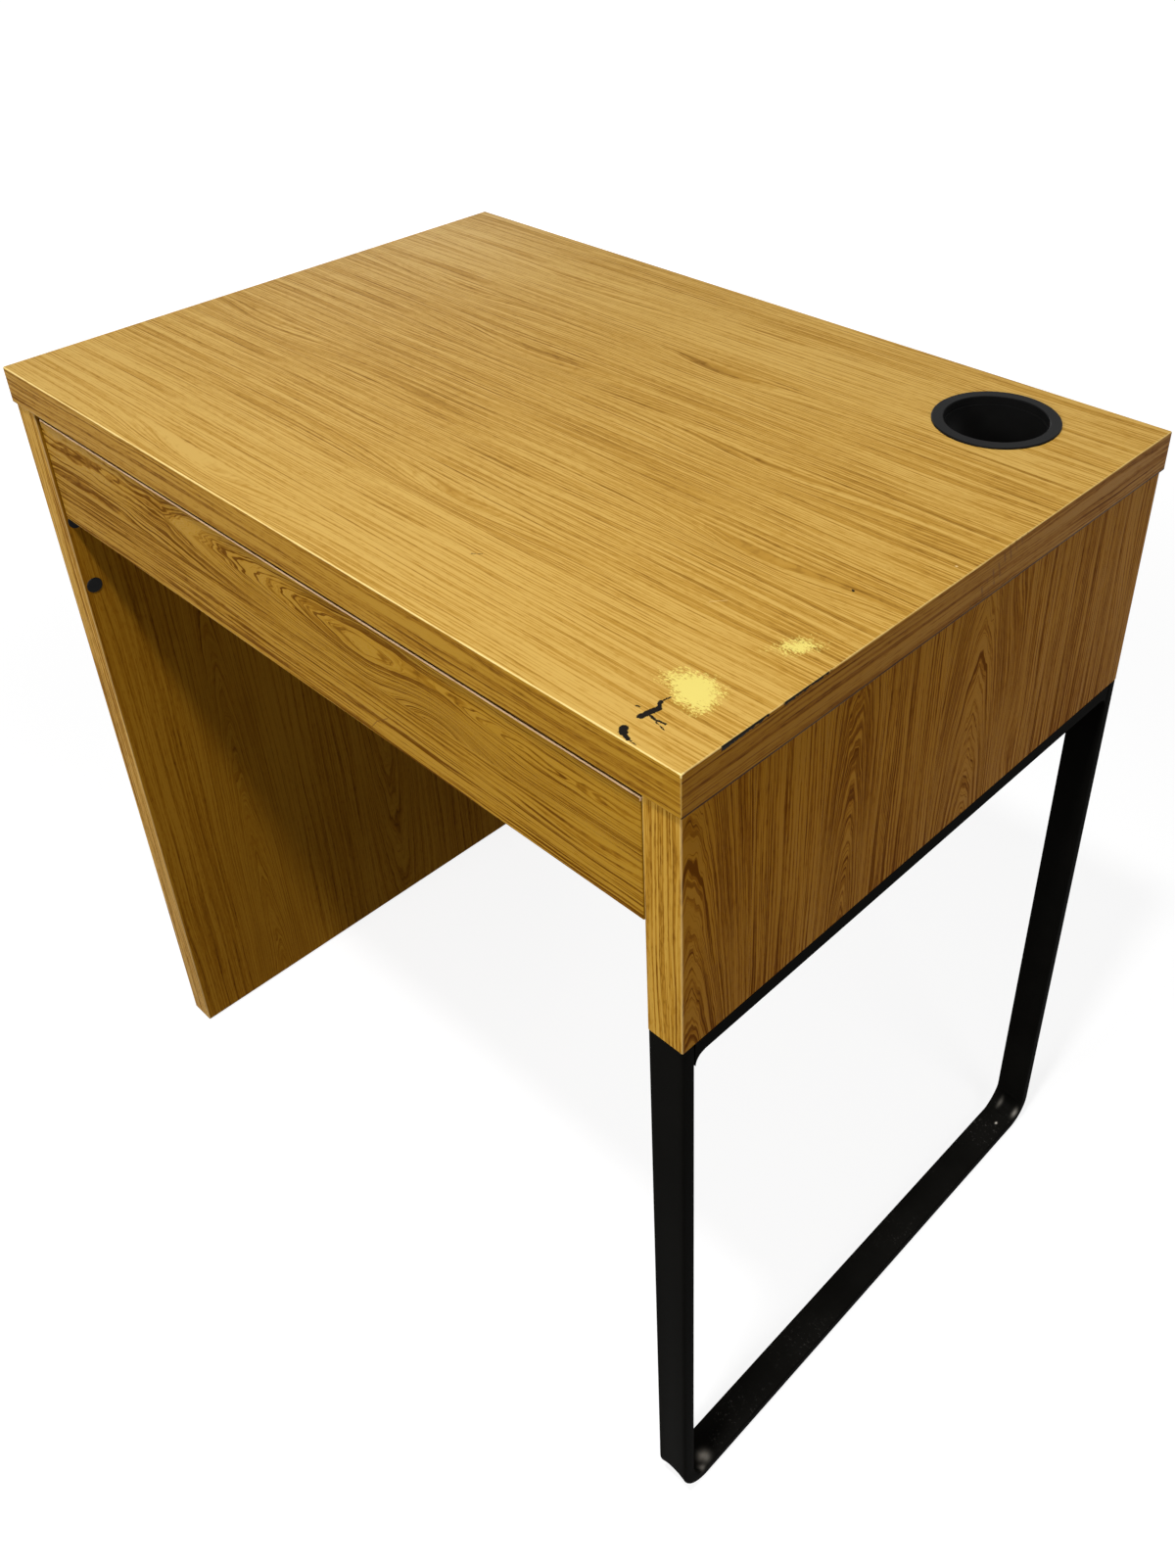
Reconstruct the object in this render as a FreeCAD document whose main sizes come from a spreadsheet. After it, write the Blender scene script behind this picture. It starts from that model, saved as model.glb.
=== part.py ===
import FreeCAD, Part
import math
import os
import re

import Sketcher
from FreeCAD import Placement, Rotation, Vector

# Small wood-effect desk: a full side panel on the left, a short side board on a steel leg frame on the right,
# one drawer on roller runners, and a compartment for cables behind the drawer.
# X points right, Y to the back and Z up. The origin is on the floor, under the middle of the top.

# Driving dimensions in millimetres, each written once
SIZES = {
    # whole desk and its boards
    "desk_width": 730,
    "desk_depth": 500,
    "desk_height": 750,
    "top_thickness": 30,
    "top_overhang": 2,
    "side_thickness": 28,
    "side_board_height": 183,
    "edge_round": 1,
    # cable compartment behind the drawer
    "divider_thickness": 16,
    "floor_thickness": 16,
    "rear_thickness": 16,
    "rear_panel_height": 110,
    # cable outlet in the top
    "outlet_from_right": 99.5,
    "outlet_from_back": 66,
    "outlet_hole_radius": 40,
    "outlet_flange_radius": 45.3,
    "outlet_flange_thickness": 1.6,
    "outlet_edge": 0.5,
    "outlet_mouth_radius": 37,
    "outlet_mouth_depth": 5,
    "outlet_bore_radius": 36,
    "outlet_depth": 36,
    # caps over the spare holes of the left panel
    "cap_setback": 9.5,
    "cap_drop": 6,
    "cap_pitch": 64,
    "cap_radius": 7,
    "cap_thickness": 0.8,
    "cap_edge": 0.5,
    "cap_stem_radius": 4,
    "cap_stem_length": 11,
    # leg frame of flat steel tube
    "tube_width": 28,
    "tube_depth": 11,
    "tube_wall": 1.5,
    "tube_corner": 2,
    "bend_radius": 30,
    "weld_radius": 8,
    "weld_toe": 0.3,
    "leg_bolt_radius": 3,
    "leg_bolt_pitch": 160,
    "leg_bolt_head_radius": 5.5,
    "leg_bolt_head_height": 3.3,
    "leg_bolt_bite": 12,
    "insert_radius": 5,
    "insert_length": 14,
    # glides under the left panel and pads under the leg frame
    "foot_height": 2,
    "foot_edge": 0.8,
    "glide_radius": 10,
    "glide_nail_radius": 1.2,
    "glide_nail_length": 15,
    "glide_setback": 40,
    "pad_radius": 9,
    "pad_stem_radius": 4,
    "pad_stem_length": 7,
    "pad_setback": 60,
    # drawer
    "front_recess": 2,
    "front_side_gap": 2.5,
    "front_top_gap": 6.5,
    "front_height": 90,
    "front_thickness": 16,
    "box_raise": 10,
    "box_side_thickness": 12,
    "box_side_height": 62,
    "box_side_length": 318,
    "box_rear_clearance": 16,
    "box_back_thickness": 12,
    "box_bottom_thickness": 3,
    "groove_raise": 8,
    "groove_depth": 5,
    "groove_clearance": 0.2,
    # roller runners
    "runner_space": 12.5,
    "runner_gauge": 1.2,
    "runner_length": 300,
    "runner_setback": 2,
    "track_raise": 4,
    "track_lip_gap": 0.8,
    "web_clearance": 1,
    "roller_radius": 10,
    "roller_width": 6.5,
    "roller_edge": 0.8,
    "roller_clearance": 0.3,
    "roller_step": 0.6,
    "roller_inset": 13,
    "roller_side_gap": 0.4,
    "pin_radius": 3,
    "pin_running_clearance": 0.06,
    "pin_head_radius": 5,
    "pin_head_thickness": 1.2,
    # fittings
    "fit_clearance": 0.1,
    "end_gap": 0.5,
    "dowel_radius": 4,
    "dowel_length": 30,
    "dowel_bite": 11,
    "cam_radius": 7.5,
    "cam_depth": 12.5,
    "cam_reach": 24,
    "cam_bolt_radius": 3,
    "cam_bolt_grip": 11,
    "box_dowel_radius": 3,
    "box_dowel_length": 22,
    "box_dowel_bite": 10,
    "box_cam_radius": 6,
    "box_cam_depth": 9,
    "box_cam_reach": 22,
    "box_cam_bolt_radius": 2.5,
    "box_cam_bolt_grip": 10,
    "cam_slot_length": 8,
    "cam_slot_width": 1.6,
    "cam_slot_depth": 1.8,
    "screw_radius": 1.75,
    "screw_length": 12,
    "screw_head_radius": 3.4,
    "screw_head_height": 1,
    "back_screw_radius": 2,
    "back_screw_length": 34,
    "back_screw_head_radius": 4,
    "back_screw_head_height": 2.2,
    # where fittings stand along the boards
    "top_cam_front": 70,
    "top_cam_back": 46,
    "top_dowel_spread": 36,
    "divider_cam_low": 40,
    "divider_cam_high": 42,
    "divider_dowel_inset": 90,
    "divider_top_dowel_spread": 190,
    "rear_cam_raise": 78,
    "rear_dowel_raise": 30,
    "floor_dowel_spread": 240,
    "box_cam_raise": 42,
    "box_dowel_raise": 24,
    "back_screw_raise": 22,
    "back_screw_pitch": 26,
    "runner_screw_first": 40,
    "runner_screw_pitch": 110,
}

# Places worked out from the driving dimensions
PLACES = {
    "under_top": "desk_height - top_thickness",
    "side_outer": "desk_width / 2 - top_overhang",
    "side_inner": "side_outer - side_thickness",
    "side_middle": "side_outer - side_thickness / 2",
    "carcass_back": "desk_depth / 2 - top_overhang",
    "carcass_front": "0 - carcass_back",
    "board_bottom": "under_top - side_board_height",
    "rear_face": "carcass_back - rear_thickness",
    "divider_front": "box_end + box_rear_clearance",
    "divider_back": "divider_front + divider_thickness",
    "floor_top": "board_bottom + floor_thickness",
    "outlet_x": "desk_width / 2 - outlet_from_right",
    "outlet_y": "desk_depth / 2 - outlet_from_back",
    "bar_bottom": "board_bottom - tube_depth",
    "leg_front_inner": "carcass_front + tube_depth",
    "leg_back_inner": "carcass_back - tube_depth",
    "drawer_face": "carcass_front + front_recess",
    "front_back": "drawer_face + front_thickness",
    "front_edge": "side_inner - front_side_gap",
    "front_top": "under_top - front_top_gap",
    "front_bottom": "front_top - front_height",
    "box_outer": "side_inner - runner_space",
    "box_inner": "box_outer - box_side_thickness",
    "box_middle": "box_outer - box_side_thickness / 2",
    "box_bottom": "front_bottom + box_raise",
    "box_top": "box_bottom + box_side_height",
    "box_end": "front_back + box_side_length",
    "box_back_face": "box_end - box_back_thickness",
    "groove_bottom": "box_bottom + groove_raise",
    "groove_width": "box_bottom_thickness + groove_clearance",
    "groove_reach": "groove_depth - groove_clearance",
    "runner_front": "front_back + runner_setback",
    "runner_end": "runner_front + runner_length",
    "track_floor": "box_bottom + track_raise",
    "rear_axle_z": "track_floor + roller_clearance + roller_radius",
    "front_axle_z": "rear_axle_z + roller_step",
    "lip_bottom": "front_axle_z + roller_radius + roller_clearance",
    "lip_top": "lip_bottom + runner_gauge",
    "track_roof": "lip_top + track_lip_gap",
    "track_middle": "(track_floor + track_roof) / 2",
    "track_flange": "runner_space - runner_gauge - web_clearance",
    "box_web": "runner_space - runner_gauge",
    "lip_edge": "runner_gauge + web_clearance",
    "front_roller_middle": "runner_gauge + roller_side_gap + roller_width / 2",
    "rear_roller_middle": "box_web - roller_side_gap - roller_width / 2",
    "front_axle_y": "runner_front + roller_inset",
    "rear_axle_y": "runner_end - roller_inset",
    "roller_bore": "pin_radius + pin_running_clearance",
}

AXES = "xyz"
TURNS = {
    "x": Rotation(Vector(0, 1, 0), 90),
    "y": Rotation(Vector(1, 0, 0), -90),
    "z": Rotation(),
}
SIDES = {"left": -1, "right": 1}
BOX_EDGES = range(1, 13)
# heights closer than this are the same height
SAME_HEIGHT = 0.01

doc = FreeCAD.newDocument("Desk")
sheet = doc.addObject("Spreadsheet::Sheet", "Sizes")
pieces = {}
blanks = {}
cutters = {}


def fill_sheet():
    """Write each driving dimension into a cell that has its name as alias."""
    for row, (name, number) in enumerate(SIZES.items(), start=1):
        sheet.set(f"A{row}", str(number))
        sheet.setAlias(f"A{row}", name)
    doc.recompute()


def formula(text):
    """The text with each place worked out and each size read from the sheet."""
    def swap(match):
        word = match.group(0)
        if word in PLACES:
            return "(" + formula(PLACES[word]) + ")"
        if word in SIZES:
            return "Sizes." + word
        return word
    return re.sub(r"[a-z][a-z_]*", swap, str(text))


def put(item, point, turn=Rotation()):
    """Stand an object at a point given by three formulas."""
    item.Placement = Placement(Vector(), turn)
    for axis, text in zip(AXES, point):
        item.setExpression(f"Placement.Base.{axis}", formula(text))
    return item


def shift(point, axis, text):
    """The point moved along one axis by a formula."""
    moved = list(point)
    index = AXES.index(axis)
    moved[index] = f"{moved[index]} + ({text})"
    return tuple(moved)


def block(name, low, high):
    """A box between its lowest and highest corner."""
    box = doc.addObject("Part::Box", name)
    for size, start, stop in zip(("Length", "Width", "Height"), low, high):
        box.setExpression(size, formula(f"({stop}) - ({start})"))
    return put(box, low)


def rod(name, axis, sign, start, radius, length):
    """A cylinder laid off from a point along an axis, forwards or backwards."""
    low = start if sign > 0 else shift(start, axis, f"0 - ({length})")
    cylinder = doc.addObject("Part::Cylinder", name)
    cylinder.setExpression("Radius", formula(radius))
    cylinder.setExpression("Height", formula(length))
    return put(cylinder, low, TURNS[axis])


def joined(name, members):
    """The members fused into one solid."""
    fusion = doc.addObject("Part::MultiFuse", name)
    fusion.Shapes = members
    return fusion


def headed(name, axis, sign, seat, radius, length, head_radius, head_height):
    """A bolt, pin or screw whose head stands on a seat and whose shank goes on into it."""
    shank = rod(name + "_shank", axis, sign, seat, radius, length)
    head = rod(name + "_head", axis, -sign, seat, head_radius, head_height)
    return joined(name, [shank, head])


def cut_away(name, base, tool):
    """The base with the tool cut out of it."""
    cut = doc.addObject("Part::Cut", name)
    cut.Base = base
    cut.Tool = tool
    return cut


def group(node, members):
    """Like pieces kept together as separate solids of one node."""
    pieces[node] = doc.addObject("Part::Compound", node)
    pieces[node].Links = members


def blank(node, shape):
    """A piece that is drilled later."""
    blanks[node] = shape
    cutters[node] = []


def board(node, low, high):
    """A board with its arrises rounded."""
    box = block(node + "_blank", low, high)
    doc.recompute()
    rounded = doc.addObject("Part::Fillet", node + "_rounded")
    rounded.Base = box
    rounded.Edges = [(edge, sheet.edge_round, sheet.edge_round) for edge in BOX_EDGES]
    blank(node, rounded)


def drill(nodes, tool):
    """Cut the tool out of each of the named pieces when they are finished."""
    for node in nodes:
        cutters[node].append(tool)


def finish_blanks():
    """Cut every collected drilling and groove."""
    for node, shape in blanks.items():
        tools = cutters[node]
        tool = tools[0] if len(tools) == 1 else joined(node + "_cutters", tools)
        pieces[node] = cut_away(node, shape, tool)


def outline(body, name, role, corners):
    """A closed sketch on one of the body's own planes, each corner dimensioned from the origin."""
    plane = next(feature for feature in body.Origin.OriginFeatures if feature.Role == role)
    sketch = body.newObject("Sketcher::SketchObject", name)
    sketch.AttachmentSupport = [(plane, "")]
    sketch.MapMode = "FlatFace"
    count = len(corners)
    rough = []
    for index in range(count):
        angle = 2 * math.pi * index / count
        rough.append(Vector(math.cos(angle), math.sin(angle), 0))
    for index in range(count):
        sketch.addGeometry(Part.LineSegment(rough[index], rough[(index + 1) % count]), False)
    for index in range(count):
        sketch.addConstraint(Sketcher.Constraint("Coincident", index, 2, (index + 1) % count, 1))
    for index, corner in enumerate(corners):
        for kind, text in zip(("DistanceX", "DistanceY"), corner):
            row = sketch.addConstraint(Sketcher.Constraint(kind, -1, 1, index, 1, 1.0))
            sketch.setExpression(f"Constraints[{row}]", formula(text))
    return sketch


def extruded(name, role, corners, length, both_ways):
    """A body padded from an outline, both ways from its plane or towards the back."""
    body = doc.addObject("PartDesign::Body", name)
    pad = body.newObject("PartDesign::Pad", name + "_pad")
    pad.Profile = outline(body, name + "_outline", role, corners)
    pad.setExpression("Length", formula(length))
    if both_ways:
        pad.SideType = "Symmetric"
    else:
        pad.Reversed = True
    doc.recompute()
    return body


def turned(name, corners):
    """A body of revolution about Z from (radius, height) corners."""
    body = doc.addObject("PartDesign::Body", name)
    sketch = outline(body, name + "_outline", "XZ_Plane", corners)
    spin = body.newObject("PartDesign::Revolution", name + "_spin")
    spin.Profile = sketch
    spin.ReferenceAxis = (sketch, ["V_Axis"])
    spin.Angle = 360
    doc.recompute()
    return body


def rounded_edges(body, name, chosen, radius):
    """Fillet the edges of the body's last feature that the chooser picks."""
    last = body.Tip
    names = [f"Edge{number}" for number, edge in enumerate(last.Shape.Edges, start=1) if chosen(edge)]
    fillet = body.newObject("PartDesign::Fillet", name)
    fillet.Base = (last, names)
    fillet.setExpression("Radius", formula(radius))
    doc.recompute()


def make_boards():
    """The top, the sides and the boards of the cable compartment."""
    board(
        "top_panel",
        ("0 - desk_width / 2", "0 - desk_depth / 2", "under_top"),
        ("desk_width / 2", "desk_depth / 2", "desk_height"),
    )
    board(
        "left_side_panel",
        ("0 - side_outer", "carcass_front", "foot_height"),
        ("0 - side_inner", "carcass_back", "under_top"),
    )
    board(
        "right_side_board",
        ("side_inner", "carcass_front", "board_bottom"),
        ("side_outer", "carcass_back", "under_top"),
    )
    board(
        "divider_panel",
        ("0 - side_inner", "divider_front", "board_bottom"),
        ("side_inner", "divider_back", "under_top"),
    )
    board(
        "compartment_floor",
        ("0 - side_inner", "divider_back", "board_bottom"),
        ("side_inner", "rear_face", "floor_top"),
    )
    board(
        "rear_panel",
        ("0 - side_inner", "rear_face", "board_bottom"),
        ("side_inner", "carcass_back", "board_bottom + rear_panel_height"),
    )


def make_cable_outlet():
    """A flanged sleeve with a ledge inside, dropped into a round hole of the top."""
    sleeve = "outlet_hole_radius - fit_clearance"
    flange_bevel = "outlet_flange_thickness - outlet_edge"
    outlet = turned("cable_outlet", [
        ("outlet_bore_radius", "0 - outlet_depth"),
        (sleeve, "0 - outlet_depth"),
        (sleeve, "0"),
        ("outlet_flange_radius", "0"),
        ("outlet_flange_radius", flange_bevel),
        ("outlet_flange_radius - outlet_edge", "outlet_flange_thickness"),
        ("outlet_mouth_radius + outlet_edge", "outlet_flange_thickness"),
        ("outlet_mouth_radius", flange_bevel),
        ("outlet_mouth_radius", "0 - outlet_mouth_depth"),
        ("outlet_bore_radius", "0 - outlet_mouth_depth"),
    ])
    pieces["cable_outlet"] = put(outlet, ("outlet_x", "outlet_y", "desk_height"))
    start = ("outlet_x", "outlet_y", "under_top")
    drill(["top_panel"], rod("outlet_hole", "z", 1, start, "outlet_hole_radius", "top_thickness"))


def make_hole_caps():
    """Flat caps with a stem, in the spare holes near the front of the left panel."""
    caps = []
    for number in (1, 2):
        place = (
            "0 - side_inner",
            "carcass_front + cap_setback",
            f"front_bottom - cap_drop - {number - 1} * cap_pitch",
        )
        cap = turned(f"hole_cap_{number}", [
            ("0", "0 - cap_stem_length"),
            ("cap_stem_radius", "0 - cap_stem_length"),
            ("cap_stem_radius", "0"),
            ("cap_radius", "0"),
            ("cap_radius - cap_edge", "cap_thickness"),
            ("0", "cap_thickness"),
        ])
        caps.append(put(cap, place, TURNS["x"]))
        hole = rod(f"cap_hole_{number}", "x", -1, place, "cap_stem_radius + fit_clearance",
                   "cap_stem_length + end_gap")
        drill(["left_side_panel"], hole)
    group("hole_caps", caps)


def bent_tube(name, inset, top):
    """The bent part of the leg frame, or with an inset the space inside its walls."""
    front = f"carcass_front + {inset}"
    back = f"carcass_back - {inset}"
    bottom = f"foot_height + {inset}"
    depth = f"(tube_depth - 2 * {inset})"
    body = extruded(name, "YZ_Plane", [
        (front, top),
        (front, bottom),
        (back, bottom),
        (back, top),
        (f"{back} - {depth}", top),
        (f"{back} - {depth}", f"{bottom} + {depth}"),
        (f"{front} + {depth}", f"{bottom} + {depth}"),
        (f"{front} + {depth}", top),
    ], f"tube_width - 2 * {inset}", both_ways=True)

    def crosses(edge):
        return edge.BoundBox.XLength > sheet.tube_width / 2

    def at_height(height):
        return lambda edge: crosses(edge) and abs(edge.BoundBox.ZMin - height) < SAME_HEIGHT

    heights = {round(edge.BoundBox.ZMin, 3) for edge in body.Tip.Shape.Edges if crosses(edge)}
    outer, inner = sorted(heights)[:2]
    rounded_edges(body, name + "_outer_bends", at_height(outer), f"bend_radius - {inset}")
    rounded_edges(body, name + "_inner_bends", at_height(inner), f"bend_radius - tube_depth + {inset}")
    return put(body, ("side_middle", "0", "0"))


def make_leg_frame():
    """The bent tube, the bar welded across its top, and the bolts that hold the side board on it."""
    tube = bent_tube("leg_tube", "0", "board_bottom")
    half_width = sheet.tube_width / 2

    def runs_along(edge):
        flat = edge.BoundBox.XLength < sheet.tube_wall
        outside = abs(abs(edge.CenterOfMass.x - tube.Placement.Base.x) - half_width) < sheet.tube_wall
        long_enough = edge.Length > 2 * sheet.tube_depth
        return flat and outside and long_enough

    rounded_edges(tube, "leg_tube_corners", runs_along, "tube_corner")
    blank("leg_frame", tube)
    drill(["leg_frame"], bent_tube("leg_tube_space", "tube_wall", "board_bottom + end_gap"))

    left = "side_middle - tube_width / 2"
    right = "side_middle + tube_width / 2"
    bar = block(
        "bar_blank",
        (left, "leg_front_inner", "bar_bottom"),
        (right, "leg_back_inner", "board_bottom"),
    )
    corner = "(weld_radius + weld_toe)"
    fillers = [bar]
    for number, (edge, sign) in enumerate((("leg_front_inner", 1), ("leg_back_inner", -1)), start=1):
        near = edge if sign > 0 else f"{edge} - {corner}"
        square = block(f"weld_blank_{number}", (left, near, f"bar_bottom - {corner}"),
                       (right, f"{near} + {corner}", "bar_bottom"))
        hollow = rod(f"weld_hollow_{number}", "x", 1,
                     (left, f"{edge} + {sign} * {corner}", f"bar_bottom - {corner}"),
                     "weld_radius", "tube_width")
        fillers.append(cut_away(f"weld_{number}", square, hollow))
    blank("leg_top_bar", joined("bar_with_welds", fillers))
    space = block(
        "bar_space",
        (f"{left} + tube_wall", "leg_front_inner", "bar_bottom + tube_wall"),
        (f"{right} - tube_wall", "leg_back_inner", "board_bottom - tube_wall"),
    )
    drill(["leg_top_bar"], space)

    bolts = []
    inserts = []
    for number in (-1, 0, 1):
        name = f"leg_bolt_{number + 2}"
        seat = ("side_middle", f"{number} * leg_bolt_pitch", "bar_bottom")
        mouth = shift(seat, "z", "tube_depth")
        bolts.append(headed(name, "z", 1, seat, "leg_bolt_radius", "tube_depth + leg_bolt_bite",
                            "leg_bolt_head_radius", "leg_bolt_head_height"))
        way = rod(name + "_way", "z", 1, seat, "leg_bolt_radius + fit_clearance",
                  "tube_depth + insert_length")
        drill(["leg_top_bar"], way)
        sleeve = rod(name + "_sleeve", "z", 1, mouth, "insert_radius", "insert_length")
        inserts.append(cut_away(name + "_insert", sleeve, way))
        hole = rod(name + "_socket", "z", 1, mouth, "insert_radius + fit_clearance",
                   "insert_length + end_gap")
        drill(["right_side_board"], hole)
    group("leg_bolts", bolts)
    group("leg_bolt_inserts", inserts)


def make_feet():
    """Nailed glides under the left panel, and pads pressed into the underside of the leg frame."""
    kinds = {
        "panel_glides": ("left_side_panel", "0 - side_middle", "glide"),
        "leg_pads": ("leg_frame", "side_middle", "pad"),
    }
    stems = {"glide": "glide_nail", "pad": "pad_stem"}
    for node, (carrier, x, kind) in kinds.items():
        stem = stems[kind]
        feet = []
        places = {"front": f"carcass_front + {kind}_setback", "back": f"carcass_back - {kind}_setback"}
        for name, y in places.items():
            foot = turned(f"{kind}_{name}", [
                ("0", "0"),
                (f"{kind}_radius - foot_edge", "0"),
                (f"{kind}_radius", "foot_edge"),
                (f"{kind}_radius", "foot_height"),
                (f"{stem}_radius", "foot_height"),
                (f"{stem}_radius", f"foot_height + {stem}_length"),
                ("0", f"foot_height + {stem}_length"),
            ])
            feet.append(put(foot, (x, y, "0")))
            hole = rod(f"{kind}_hole_{name}", "z", 1, (x, y, "foot_height"),
                       f"{stem}_radius + fit_clearance", f"{stem}_length + end_gap")
            drill([carrier], hole)
        group(node, feet)


def dowel(name, boards, joint, axis, into_end, kind):
    """A dowel that bites into one board's face and goes on into the other board's end, with its hole."""
    radius = f"{kind}_radius"
    length = f"{kind}_length"
    bite = f"{kind}_bite"
    start = shift(joint, axis, f"{-into_end} * {bite}")
    hole_start = shift(start, axis, f"{-into_end} * end_gap")
    hole = rod(name + "_hole", axis, into_end, hole_start, f"{radius} + fit_clearance",
               f"{length} + 2 * end_gap")
    drill(boards, hole)
    return rod(name, axis, into_end, start, radius, length)


def cam_fitting(name, host, mate, joint, bolt_axis, into_host, face_axis, into_face, face, kind):
    """A cam lock set in a face of the host, and the bolt in the mate that it draws tight."""
    reach = f"{kind}_reach"
    grip = f"{kind}_bolt_grip"
    bolt_start = shift(joint, bolt_axis, f"{-into_host} * {grip}")
    bolt = rod(name + "_bolt", bolt_axis, into_host, bolt_start, f"{kind}_bolt_radius", f"{grip} + {reach}")
    way_start = shift(bolt_start, bolt_axis, f"{-into_host} * end_gap")
    way = rod(name + "_way", bolt_axis, into_host, way_start, f"{kind}_bolt_radius + fit_clearance",
              f"{grip} + {reach} + 2 * end_gap")
    centre = list(shift(joint, bolt_axis, f"{into_host} * {reach}"))
    centre[AXES.index(face_axis)] = face
    pocket = rod(name + "_pocket", face_axis, into_face, tuple(centre), f"{kind}_radius + fit_clearance",
                 f"{kind}_depth")
    drill([host, mate], way)
    drill([host], pocket)
    disc = rod(name + "_disc", face_axis, into_face, tuple(centre), f"{kind}_radius", f"{kind}_depth")
    slots = [way]
    flat_axes = [axis for axis in AXES if axis != face_axis]
    for along, across in (flat_axes, flat_axes[::-1]):
        low = tuple(centre)
        high = tuple(centre)
        for axis, half in ((along, "cam_slot_length / 2"), (across, "cam_slot_width / 2")):
            low = shift(low, axis, f"0 - {half}")
            high = shift(high, axis, half)
        if into_face > 0:
            high = shift(high, face_axis, "cam_slot_depth")
        else:
            low = shift(low, face_axis, "0 - cam_slot_depth")
        slots.append(block(f"{name}_slot_{along}", low, high))
    lock = cut_away(name + "_lock", disc, joined(name + "_slots", slots))
    return lock, bolt


def make_carcass_fittings():
    """Cam locks and dowels that hold the boards together."""
    locks = []
    bolts = []
    dowels = []

    def fit_cam(*arguments):
        lock, bolt = cam_fitting(*arguments, "cam")
        locks.append(lock)
        bolts.append(bolt)

    def fit_dowel(*arguments):
        dowels.append(dowel(*arguments, "dowel"))

    floor_middle = "board_bottom + floor_thickness / 2"
    divider_middle = "divider_back - divider_thickness / 2"
    rear_middle = "rear_face + rear_thickness / 2"
    for side, sign in SIDES.items():
        panel = "left_side_panel" if sign < 0 else "right_side_board"
        inner = f"{sign} * side_inner"
        upper_cams = {
            "front": ("carcass_front + top_cam_front", "carcass_front + top_cam_front + top_dowel_spread"),
            "back": ("carcass_back - top_cam_back", "carcass_back - top_cam_back - top_dowel_spread"),
        }
        for end, (cam_y, dowel_y) in upper_cams.items():
            joint = (f"{sign} * side_middle", cam_y, "under_top")
            fit_cam(f"top_cam_{side}_{end}", panel, "top_panel", joint, "z", -1, "x", sign, inner)
            joint = (f"{sign} * side_middle", dowel_y, "under_top")
            fit_dowel(f"top_dowel_{side}_{end}", [panel, "top_panel"], joint, "z", -1)
        divider_cams = {"low": "board_bottom + divider_cam_low", "high": "under_top - divider_cam_high"}
        for end, height in divider_cams.items():
            joint = (inner, divider_middle, height)
            fit_cam(f"divider_cam_{side}_{end}", "divider_panel", panel, joint, "x", -sign, "y", -1,
                    "divider_back")
        joint = (inner, divider_middle, "board_bottom + divider_dowel_inset")
        fit_dowel(f"divider_dowel_{side}", ["divider_panel", panel], joint, "x", -sign)
        joint = (inner, rear_middle, "board_bottom + rear_cam_raise")
        fit_cam(f"rear_cam_{side}", "rear_panel", panel, joint, "x", -sign, "y", 1, "rear_face")
        joint = (inner, rear_middle, "board_bottom + rear_dowel_raise")
        fit_dowel(f"rear_dowel_{side}", ["rear_panel", panel], joint, "x", -sign)
        joint = (f"{sign} * divider_top_dowel_spread", divider_middle, "under_top")
        fit_dowel(f"divider_top_dowel_{side}", ["divider_panel", "top_panel"], joint, "z", -1)
    for number in (-1, 0, 1):
        x = f"{number} * floor_dowel_spread"
        fit_dowel(f"floor_divider_dowel_{number + 2}", ["compartment_floor", "divider_panel"],
                  (x, "divider_back", floor_middle), "y", 1)
        fit_dowel(f"floor_rear_dowel_{number + 2}", ["compartment_floor", "rear_panel"],
                  (x, "rear_face", floor_middle), "y", -1)
    group("carcass_cam_locks", locks)
    group("carcass_cam_bolts", bolts)
    group("carcass_dowels", dowels)


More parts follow.
